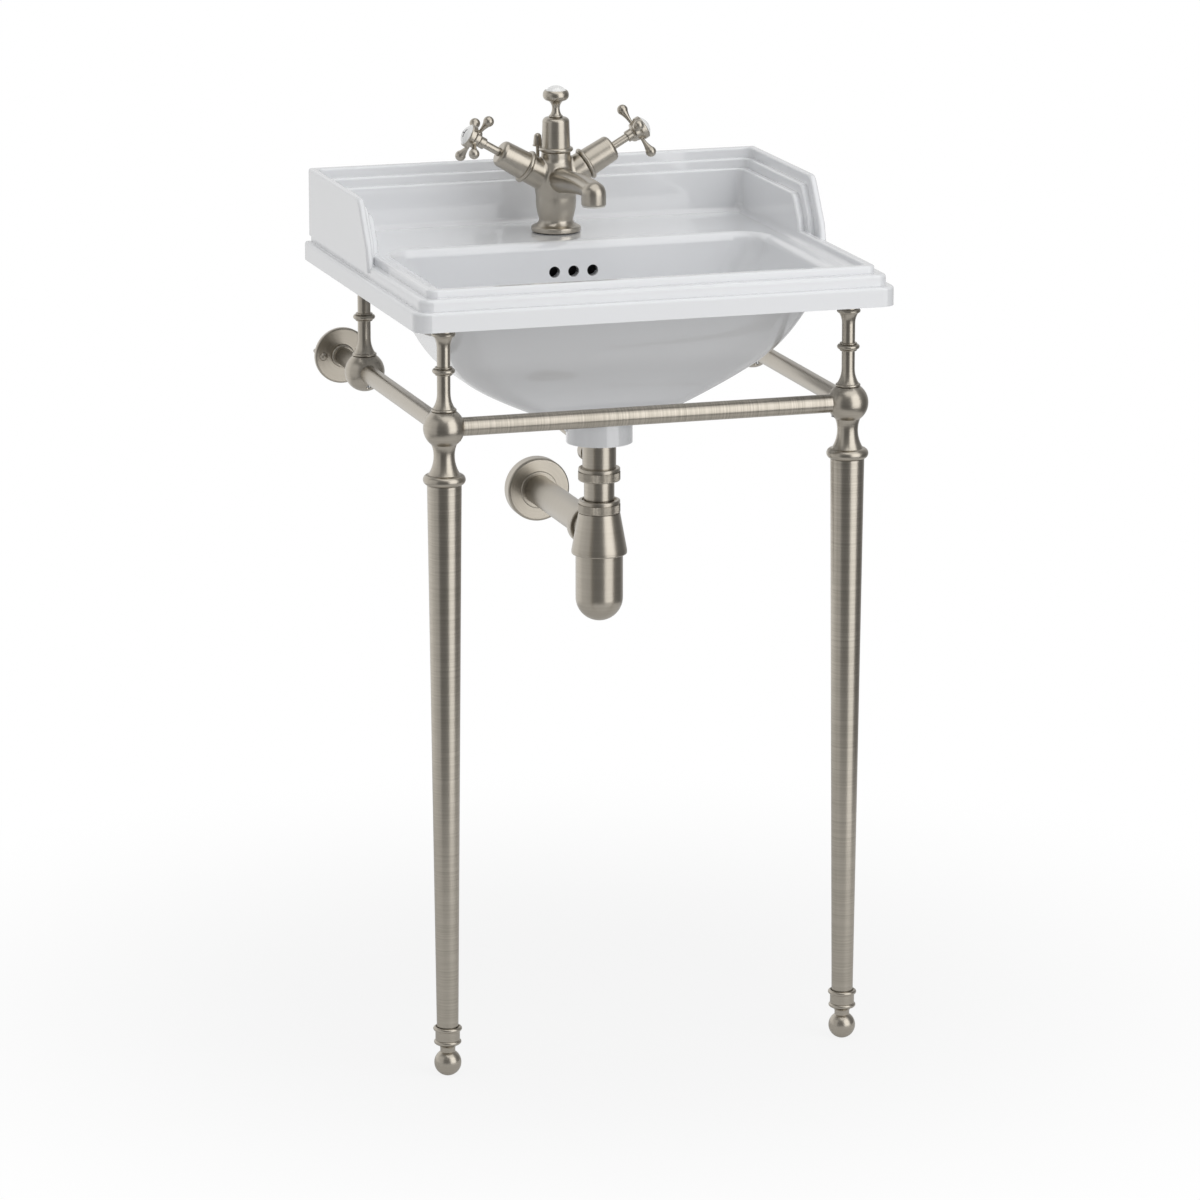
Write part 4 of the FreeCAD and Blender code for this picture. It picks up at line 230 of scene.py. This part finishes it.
NICKEL_ROUGH = 0.29
TONE_LOW = 0.25
TONE_HIGH = 0.75
CLOUD_SCALE = 34.0
CLOUD_SHARE = 0.15
LINE_FINE = 2600.0
LINE_BROAD = 620.0
LINE_BROAD_SHARE = 0.7
LINE_RUN = 12.0
LINE_SKEW = 1.7
LINE_DEPTH = 0.007 * MM
LINE_ROUGH_SWING = 0.08


def brushed(name, axis, centre, fold=None, strength=1.0, pale=NICKEL_PALE, deep=NICKEL_DEEP):
    """Satin metal with fine marks round an axis. A fold lays the pieces of a set over each other."""
    material, shop, place = new_finish(name)
    local = shop.vector("SUBTRACT", place, centre)
    if fold:
        parts = shop.axes(local)
        folded = [part.maths("ABSOLUTE") - gap if gap else part for part, gap in zip(parts, fold)]
        local = shop.add("ShaderNodeCombineXYZ", values=dict(enumerate(folded)))
    along = shop.vector("DOT_PRODUCT", local, axis, out="Value")
    line = shop.add("ShaderNodeVectorMath", {"operation": "SCALE"}, {0: axis, "Scale": along})
    across = shop.vector("SUBTRACT", local, line)
    hoop = along + shop.length(across)
    x, y, z = shop.axes(shop.vector("MULTIPLY", across, (LINE_RUN, LINE_RUN, LINE_RUN)))
    drift = x + y * LINE_SKEW
    lift = z - y

    def marks(per_metre):
        spot = shop.add("ShaderNodeCombineXYZ", values={0: hoop * per_metre, 1: drift, 2: lift})
        return shop.noise(spot, 1.0, detail=2)

    cloud = shop.noise(place, CLOUD_SCALE, detail=3)
    mixed = marks(LINE_FINE) * (1 - LINE_BROAD_SHARE) + marks(LINE_BROAD) * LINE_BROAD_SHARE
    tone = mixed * (1 - CLOUD_SHARE) + cloud * CLOUD_SHARE
    surface(
        shop,
        Base_Color=shop.tint(shop.spread(tone, TONE_LOW, TONE_HIGH), deep, pale),
        Metallic=1.0,
        Roughness=tone * LINE_ROUGH_SWING + (NICKEL_ROUGH - LINE_ROUGH_SWING / 2),
        Normal=shop.bump(mixed, LINE_DEPTH * strength),
    )
    return material


CAST_GRAIN = 900.0
CAST_GRAIN_DEPTH = 0.002 * MM
CAST_ROUGH_SWING = 0.05


def cast(name, rough=NICKEL_ROUGH, pale=NICKEL_PALE, deep=NICKEL_DEEP):
    """Satin plated casting: soft clouds and a fine grain with no direction."""
    material, shop, place = new_finish(name)
    cloud = shop.noise(place, CLOUD_SCALE, detail=4)
    grain = shop.noise(place, CAST_GRAIN, detail=3)
    surface(
        shop,
        Base_Color=shop.tint(shop.spread(cloud, TONE_LOW, TONE_HIGH), deep, pale),
        Metallic=1.0,
        Roughness=cloud * CAST_ROUGH_SWING + (rough - CAST_ROUGH_SWING / 2),
        Normal=shop.bump(grain, CAST_GRAIN_DEPTH),
    )
    return material


MOULD_GRAIN = 700.0
MOULD_GRAIN_DEPTH = 0.02 * MM
MOULD_ROUGH_MORE = 0.15


def moulded(name, pale, deep, rough):
    """Plain moulded plastic or rubber with a fine grain."""
    material, shop, place = new_finish(name)
    cloud = shop.noise(place, CLOUD_SCALE, detail=3)
    grain = shop.noise(place, MOULD_GRAIN, detail=2)
    surface(
        shop,
        Base_Color=shop.tint(cloud, deep, pale),
        Roughness=grain * MOULD_ROUGH_MORE + rough,
        Normal=shop.bump(grain, MOULD_GRAIN_DEPTH),
    )
    return material


INK_ROUGH = 0.15
INK_ROUGH_MORE = 0.1


def ink(name):
    """Fired black mark under the glaze, thin in places."""
    material, shop, place = new_finish(name)
    wear = shop.noise(place, MOULD_GRAIN, detail=3)
    surface(
        shop,
        Base_Color=shop.tint(wear, INK, INK_WORN),
        Roughness=wear * INK_ROUGH_MORE + INK_ROUGH,
    )
    return material


# Folds: how far the pieces of a left and right pair, and of a set of four, stand from the middle
PAIR = (LEG.x, 0, 0)
FOUR = (LEG.x, POST_ROW_HALF, 0)

china = glaze("glazed_china", GLAZE_WHITE, GLAZE_SHADE)
porcelain = glaze("glazed_porcelain", PORCELAIN_WHITE, PORCELAIN_SHADE)
cast_nickel = cast("cast_nickel")
knob_nickel = cast("cast_lift_knob")
valve_brass = cast("valve_brass", rough=0.35)
steel = cast("plain_steel", rough=0.33, pale=STEEL_PALE, deep=STEEL_DEEP)
nylon = moulded("white_nylon", NYLON_PALE, NYLON_DEEP, rough=0.4)
rubber = moulded("black_rubber", RUBBER_PALE, RUBBER_DEEP, rough=0.55)
# Painted shade for the overflow duct's hidden inside, darker than the clay's own colour
duct_painted_shade = moulded("duct_painted_shade", DUCT_SHADE_PALE, DUCT_SHADE_DEEP, rough=0.7)
black_mark = ink("black_mark")

leg_nickel = brushed("brushed_legs", ALONG_Z, (0, LEG.y, 0), fold=PAIR, pale=LINE_PALE, deep=LINE_DEEP)
post_nickel = brushed("turned_posts", ALONG_Z, (0, POST_ROW_Y, 0), fold=FOUR, strength=0.15)
rail_nickel = brushed("brushed_front_rail", ALONG_X, (0, RAIL.y, RAIL.z), pale=RAIL_PALE, deep=RAIL_DEEP)
side_rail_nickel = brushed("brushed_side_rails", ALONG_Y, (0, 0, SIDE_RAIL.z), fold=PAIR, strength=0.7)
flange_nickel = brushed("turned_wall_flanges", ALONG_Y, (0, 0, SIDE_RAIL.z), fold=PAIR, strength=0.4)
waste_nickel = brushed("brushed_trap", ALONG_Z, (0, WASTE.y, 0), strength=0.4)
outlet_nickel = brushed("brushed_outlet", ALONG_Y, (0, 0, OUTLET.z), strength=0.7)
centre_nickel = brushed("turned_centre_bonnet", ALONG_Z, (0, TAP_AXIS.y, 0), strength=0.08)


def dress(material, *names):
    """Gives solids a finish through their material slots."""
    for name in names:
        slots = NODES[name].data.materials
        slots.clear()
        slots.append(material)


dress(china, "basin")
dress(porcelain, "hot_button", "cold_button", "centre_button")
dress(leg_nickel, "left_leg_tube", "right_leg_tube")
dress(post_nickel, "leg_feet", "upper_posts", "rear_knuckles")
dress(post_nickel, "left_front_knuckle", "right_front_knuckle")
dress(rail_nickel, "front_rail")
dress(side_rail_nickel, "left_side_rail", "right_side_rail", "wall_spigots")
dress(flange_nickel, "wall_flanges", "wall_screws")
dress(waste_nickel, "waste_body", "trap_inlet_nut", "trap_inlet_pipe")
dress(waste_nickel, "trap_lower_nut", "trap_body", "trap_cup")
dress(outlet_nickel, "trap_outlet_nut", "trap_outlet_pipe", "trap_wall_flange", "pivot_nut")
dress(centre_nickel, "centre_bonnet", "centre_finial")
dress(cast_nickel, "tap_body", "popup_plug", "lift_rod", "pivot_lever", "link_clamp")
dress(knob_nickel, "lift_knob")
dress(valve_brass, "valve_cartridges")
dress(steel, "post_studs", "rail_grub_screws", "tap_clamp_plate", "tap_clamp_stud", "tap_clamp_nut")
dress(steel, "hot_handle_screw", "cold_handle_screw", "link_screw")
dress(nylon, "waste_back_nut", "pivot_seat", "spout_aerator")
dress(rubber, "post_pads", "tap_base_gasket", "tap_clamp_washer")
dress(rubber, "plug_seal", "waste_lower_seal", "trap_seals")

for side, arm in TAP_ARMS.items():
    arm_nickel = brushed("turned_%s_bonnet" % side, arm, TAP_TURN, strength=0.08)
    dress(arm_nickel, "%s_bonnet" % side, "%s_spindle" % side, "%s_handle" % side)


# Pieces
MERGE = 0.001 * MM


def set_out(name, data):
    """New object in the scene."""
    item = bpy.data.objects.new(name, data)
    bpy.context.scene.collection.objects.link(item)
    return item


def mesh_of(name, form):
    """Mesh from a bmesh, which is used up."""
    mesh = bpy.data.meshes.new(name)
    form.to_mesh(mesh)
    form.free()
    return mesh


def form_of(item):
    """Form of an object with its modifiers or its text worked out. The object is used up."""
    graph = bpy.context.evaluated_depsgraph_get()
    mesh = bpy.data.meshes.new_from_object(item.evaluated_get(graph))
    bpy.data.objects.remove(item)
    form = bmesh.new()
    form.from_mesh(mesh)
    return form


def new_piece(name, form, material, body):
    """Finished piece from a bmesh, riding on a body, with a finish."""
    mesh = mesh_of(name, form)
    mesh.materials.append(material)
    piece = set_out(name, mesh)
    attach(piece, body)
    return piece


def merged_copy(node):
    """Copy of a solid's mesh with its loose triangles joined."""
    form = bmesh.new()
    form.from_mesh(NODES[node].data)
    bmesh.ops.remove_doubles(form, verts=form.verts, dist=MERGE)
    return form


def worked(form, kind, **settings):
    """The form after one modifier."""
    blank = set_out("blank", mesh_of("blank", form))
    tool = blank.modifiers.new("tool", kind)
    for name, setting in settings.items():
        setattr(tool, name, setting)
    return form_of(blank)


SMOOTH_STEP = 0.5
NET_ROUNDS = 3
CONVEX_SHARE = 0.06


def smoothed(form, rounds):
    """Evens out the whole form, a step each round."""
    for _ in range(rounds):
        bmesh.ops.smooth_vert(
            form, verts=form.verts, factor=SMOOTH_STEP, use_axis_x=True, use_axis_y=True, use_axis_z=True
        )


def blended(node, net, rounds, crease):
    """Casting drawn from a solid: an even net whose inside corners are filled, where crease allows."""
    form = worked(merged_copy(node), "REMESH", mode="VOXEL", voxel_size=net)
    smoothed(form, NET_ROUNDS)
    form.normal_update()
    start = [(vert, vert.co.copy(), vert.normal.copy()) for vert in form.verts]
    smoothed(form, rounds)
    for vert, old, normal in start:
        move = vert.co - old
        filled = move.dot(normal) > 0 and crease(old)
        vert.co = old + move * (1 if filled else CONVEX_SHARE)
    for face in form.faces:
        face.smooth = True
    return form


LOOK_TILT = math.radians(50)
LOOKS = 8
SKIN_GAP = 0.02 * MM
DUCT_REACH = 40 * MM


def skin(node):
    """Search tree of a solid's triangles."""
    mesh = NODES[node].data
    places = [vert.co.copy() for vert in mesh.vertices]
    return BVHTree.FromPolygons(places, [tuple(face.vertices) for face in mesh.polygons])


def shut_in(shell, spot, normal):
    """Whether a shell hides a spot on it from the open on every side."""
    side = normal.orthogonal()
    sights = [normal]
    for look in range(LOOKS):
        lean = Matrix.Rotation(math.tau * look / LOOKS, 3, normal) @ side
        sights.append(normal * math.cos(LOOK_TILT) + lean * math.sin(LOOK_TILT))
    return all(shell.ray_cast(spot + normal * SKIN_GAP, sight)[0] for sight in sights)


def buried(shell, spot, normal):
    """Whether a spot looks into a solid that lies against it."""
    hit, facing = shell.ray_cast(spot + normal * SKIN_GAP, normal)[:2]
    return hit is not None and facing.dot(normal) > 0


def glazed_basin():
    """Basin in one skin, whose overflow duct, shut off from the light, is painted near black as painted
    shade.
    """
    shell = skin("basin")
    form = bmesh.new()
    form.from_mesh(NODES["basin"].data)
    seams = [face for face in form.faces if buried(shell, face.calc_center_median(), face.normal)]
    bmesh.ops.delete(form, geom=seams, context="FACES")
    for face in form.faces:
        spot = face.calc_center_median()
        in_duct = abs(spot.x) < DUCT_REACH and spot.y > WASTE.y
        # Duct faces hidden from the open on every side get the painted shade in the second slot
        face.material_index = int(in_duct and shut_in(shell, spot, face.normal))
    piece = new_piece("glazed_basin", form, china, "sink")
    piece.data.materials.append(duct_painted_shade)
    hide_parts("basin")


BODY_NET = 0.8 * MM
BODY_ROUNDS = 45
BODY_BACK = 8 * MM
SPOUT_LIP = 6 * MM


def tap_casting():
    """Tap body with its arms, neck and spout run into the column."""
    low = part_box("spout_aerator")[0].z + SPOUT_LIP
    back = TAP_AXIS.y + BODY_BACK

    def crease(spot):
        return spot.y < back and spot.z > low

    form = blended("tap_body", BODY_NET, BODY_ROUNDS, crease)
    piece = new_piece("tap_casting", form, cast_nickel, "sink")
    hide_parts("tap_body")


HANDLE_NET = 0.32 * MM
HANDLE_ROUNDS = 30


def cross_handle(side):
    """Cross handle with its arms run into the hub."""
    node = "%s_handle" % side
    form = blended(node, HANDLE_NET, HANDLE_ROUNDS, lambda spot: True)
    piece = new_piece("%s_cross_handle" % side, form, cast_nickel, "%s_turn" % side)
    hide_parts(node)


KNURL_TEETH = 96
TOOTH_STEPS = 4
KNURL_DEPTH = 0.24 * MM
KNURL_SINK = 0.6 * MM
NUT_LIP = 4.6 * MM
NUT_FOOT = 1.4 * MM


def new_points(result):
    """Vertices that an extrusion made."""
    return [item for item in result["geom"] if isinstance(item, bmesh.types.BMVert)]


def knurl(name, foot, axis, radius, height, material):
    """Band of fine teeth round a nut, from its foot along its axis."""
    form = bmesh.new()
    bmesh.ops.create_circle(form, segments=KNURL_TEETH * TOOTH_STEPS, radius=radius)
    ring = sorted(form.verts, key=lambda vert: math.atan2(vert.co.y, vert.co.x))
    for count, vert in enumerate(ring):
        if count % TOOTH_STEPS >= TOOTH_STEPS / 2:
            vert.co *= 1 + KNURL_DEPTH / radius
    upper = new_points(bmesh.ops.extrude_edge_only(form, edges=form.edges[:]))
    bmesh.ops.translate(form, verts=upper, vec=(0, 0, height))
    rims = [edge for edge in form.edges if edge.is_boundary]
    for level in (0, height):
        rim = [edge for edge in rims if all(abs(vert.co.z - level) < MERGE for vert in edge.verts)]
        for vert in new_points(bmesh.ops.extrude_edge_only(form, edges=rim)):
            vert.co.xy = vert.co.xy.normalized() * (radius - KNURL_SINK)
    open_rims = [edge for edge in form.edges if edge.is_boundary]
    bmesh.ops.bridge_loops(form, edges=open_rims)
    bmesh.ops.recalc_face_normals(form, faces=form.faces)
    turn = ALONG_Z.rotation_difference(axis).to_matrix().to_4x4()
    bmesh.ops.transform(form, matrix=Matrix.Translation(foot) @ turn, verts=form.verts)
    new_piece(name, form, material, "sink")


def trap_knurls():
    """Knurls on the trap's two upright nuts and on its outlet nut."""
    for nut in ("trap_inlet_nut", "trap_lower_nut"):
        low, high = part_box(nut)
        foot = Vector((WASTE.x, WASTE.y, low.z + NUT_FOOT))
        band = high.z - low.z - NUT_LIP - NUT_FOOT
        knurl(nut + "_knurl", foot, ALONG_Z, (high.x - low.x) / 2, band, waste_nickel)
    low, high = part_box("trap_outlet_nut")
    foot = Vector((OUTLET.x, low.y + NUT_FOOT, OUTLET.z))
    band = high.y - low.y - NUT_LIP - NUT_FOOT
    knurl("trap_outlet_nut_knurl", foot, ALONG_Y, (high.x - low.x) / 2, band, outlet_nickel)


SLOT_W = 1.1 * MM
SLOT_DEPTH = 1.5 * MM
SLOT_RUN = 12 * MM
SLOT_TURN = math.radians(35)
SHARP_EDGE = math.radians(35)


def slotted_screws():
    """Wall screws with a driver slot across each head."""
    low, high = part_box("wall_screws")
    head_r = (high.z - low.z) / 2
    spots = []
    for x in (low.x + head_r, high.x - head_r):
        inward = math.copysign(2 * (LEG.x - abs(x)), -x)
        spots.append(x)
        spots.append(x + inward)
    cutter = bmesh.new()
    for count, x in enumerate(spots):
        cube = bmesh.ops.create_cube(cutter, size=1)["verts"]
        shape = Matrix.Diagonal((SLOT_RUN, 2 * SLOT_DEPTH, SLOT_W, 1))
        turn = Matrix.Rotation(SLOT_TURN * (1 + count), 4, "Y")
        place = Matrix.Translation((x, low.y, (low.z + high.z) / 2))
        bmesh.ops.transform(cutter, matrix=place @ turn @ shape, verts=cube)
    blade = set_out("slot_cutter", mesh_of("slot_cutter", cutter))
    screws = merged_copy("wall_screws")
    form = worked(screws, "BOOLEAN", operation="DIFFERENCE", object=blade, solver="EXACT")
    bpy.data.objects.remove(blade)
    piece = new_piece("slotted_wall_screws", form, flange_nickel, "sink")
    piece.data.shade_smooth()
    piece.data.set_sharp_from_angle(angle=SHARP_EDGE)
    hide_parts("wall_screws")


MARK_SIZE = 14 * MM
MARK_START = 2 * MARK_SIZE
MARK_LIFT = 0.05 * MM
MARK_CUTS = 3


def button_mark(side, letter):
    """Fired letter that follows the dome of a porcelain button."""
    axis = TAP_ARMS[side]
    dome = skin("%s_button" % side)
    words = bpy.data.curves.new("words", "FONT")
    words.body = letter
    words.size = MARK_SIZE
    words.align_x = "CENTER"
    words.align_y = "CENTER"
    form = form_of(set_out("words", words))
    bmesh.ops.subdivide_edges(form, edges=form.edges[:], cuts=MARK_CUTS, use_grid_fill=True)
    upright = (ALONG_Z - axis * ALONG_Z.dot(axis)).normalized()
    across = upright.cross(axis)
    start = middle("%s_button" % side) + axis * MARK_START
    for vert in form.verts:
        spot = start + across * vert.co.x + upright * vert.co.y
        vert.co = dome.ray_cast(spot, -axis)[0] + axis * MARK_LIFT
    new_piece("%s_mark" % side, form, black_mark, "%s_turn" % side)


glazed_basin()
tap_casting()
slotted_screws()
for side, letter in (("hot", "H"), ("cold", "C")):
    cross_handle(side)
    button_mark(side, letter)
trap_knurls()


# Floor, light and camera
FLOOR_REACH = 1.15
FLOOR_EDGES = 96
FLOOR_FADE_START = 0.2
FLOOR_FADE_END = 1.0
FLOOR_GLOW = 0.86
FLOOR_GLOSS = 0.4


def studio_floor():
    """Pale floor that fades into the white background and keeps the shadow near the feet."""
    form = bmesh.new()
    bmesh.ops.create_circle(form, cap_ends=True, segments=FLOOR_EDGES, radius=FLOOR_REACH)
    material, shop, place = new_finish("floor")
    camera, sent_on = shop.rays()
    rays = camera + sent_on * FLOOR_GLOSS
    far = shop.spread(shop.length(place), FLOOR_FADE_START, FLOOR_FADE_END)
    fade = (far * (1 - FLOOR_GLOW) + FLOOR_GLOW) * rays
    paint = shop.add("ShaderNodeBsdfDiffuse", values={"Color": FLOOR_GREY})
    glow = shop.add("ShaderNodeEmission", values={"Color": STUDIO_WHITE})
    shader = shop.add("ShaderNodeMixShader", values={0: fade, 1: paint, 2: glow})
    shop.add("ShaderNodeOutputMaterial", values={"Surface": shader})
    floor = set_out("floor", mesh_of("floor", form))
    floor.data.materials.append(material)


# Heading of the white side. Each pair of ends is where a glow starts and where it is full
WHITE_BACK = 0.84
WHITE_LEFT = 0.54
WHITE_ENDS = (0.45, 0.95)
ABOVE_ENDS = (-0.2, 0.9)
BEHIND_ENDS = (0.1, 0.9)
ROOM_LEVEL = 0.17
ROOM_ABOVE = 0.12
ROOM_BEHIND = 0.4


def studio_world():
    """White to the camera, and behind the sink and to its left to the metal. A grey room otherwise."""
    world = bpy.data.worlds.new("studio")
    world.use_nodes = True
    bpy.context.scene.world = world
    shop = Shop(world.node_tree)
    x, y, z = shop.axes(shop.add("ShaderNodeTexCoord", out="Generated"))
    camera, sent_on = shop.rays()
    white_side = shop.spread(y * WHITE_BACK - x * WHITE_LEFT, *WHITE_ENDS)
    white = (camera + sent_on * white_side).maths("MINIMUM", 1.0)
    above = shop.spread(z, *ABOVE_ENDS) * ROOM_ABOVE
    behind = shop.spread(y, *BEHIND_ENDS) * ROOM_BEHIND
    level = white + (1 - white) * (above + behind + ROOM_LEVEL)
    light = shop.add("ShaderNodeBackground", values={"Color": STUDIO_WHITE, "Strength": level})
    shop.add("ShaderNodeOutputWorld", values={"Surface": light})


SINK_HEART = Vector((0, 0, 0.66))

# Name, heading from the sink, distance, width and height, level, and whether gloss mirrors it
LAMPS = (
    ("front_right_panel", (0.52, -0.84, 0.2), 3.6, (3.2, 4.6), 1.62, True),
    ("left_panel", (-0.97, -0.22, 0.1), 3.2, (2.6, 4.2), 0.46, True),
    ("front_left_fill", (-0.78, -0.62, -0.05), 3.2, (2.0, 3.0), 0.6, False),
    ("top_panel", (0.1, -0.25, 1.0), 2.9, (3.4, 3.4), 1.06, True),
)


def panel(name, direction, distance, size, level, mirrored):
    """Soft rectangular lamp that faces the sink. Level is its brightness as a white surface."""
    lamp = bpy.data.lights.new(name, "AREA")
    lamp.shape = "RECTANGLE"
    lamp.size, lamp.size_y = size
    lamp.energy = level * math.pi * size[0] * size[1]
    rig = set_out(name, lamp)
    heading = Vector(direction).normalized()
    rig.location = SINK_HEART + heading * distance
    rig.rotation_euler = heading.to_track_quat("Z", "Y").to_euler()
    rig.visible_camera = False
    rig.visible_glossy = mirrored


SENSOR_W = 36
LENS = 180.97
CAMERA_PLACE = (-1.8415, -5.9294, 1.9305)
CAMERA_TILT = math.radians(76.532)
CAMERA_TURN = math.radians(-17.346)


def photo_camera():
    """Camera at the photograph's viewing angle."""
    camera = bpy.data.cameras.new("camera")
    camera.sensor_width = SENSOR_W
    camera.lens = LENS
    rig = set_out("camera", camera)
    rig.location = CAMERA_PLACE
    rig.rotation_euler = (CAMERA_TILT, 0, CAMERA_TURN)
    bpy.context.scene.camera = rig


studio_floor()
studio_world()
for lamp in LAMPS:
    panel(*lamp)
photo_camera()

bpy.context.scene.view_settings.view_transform = "Standard"
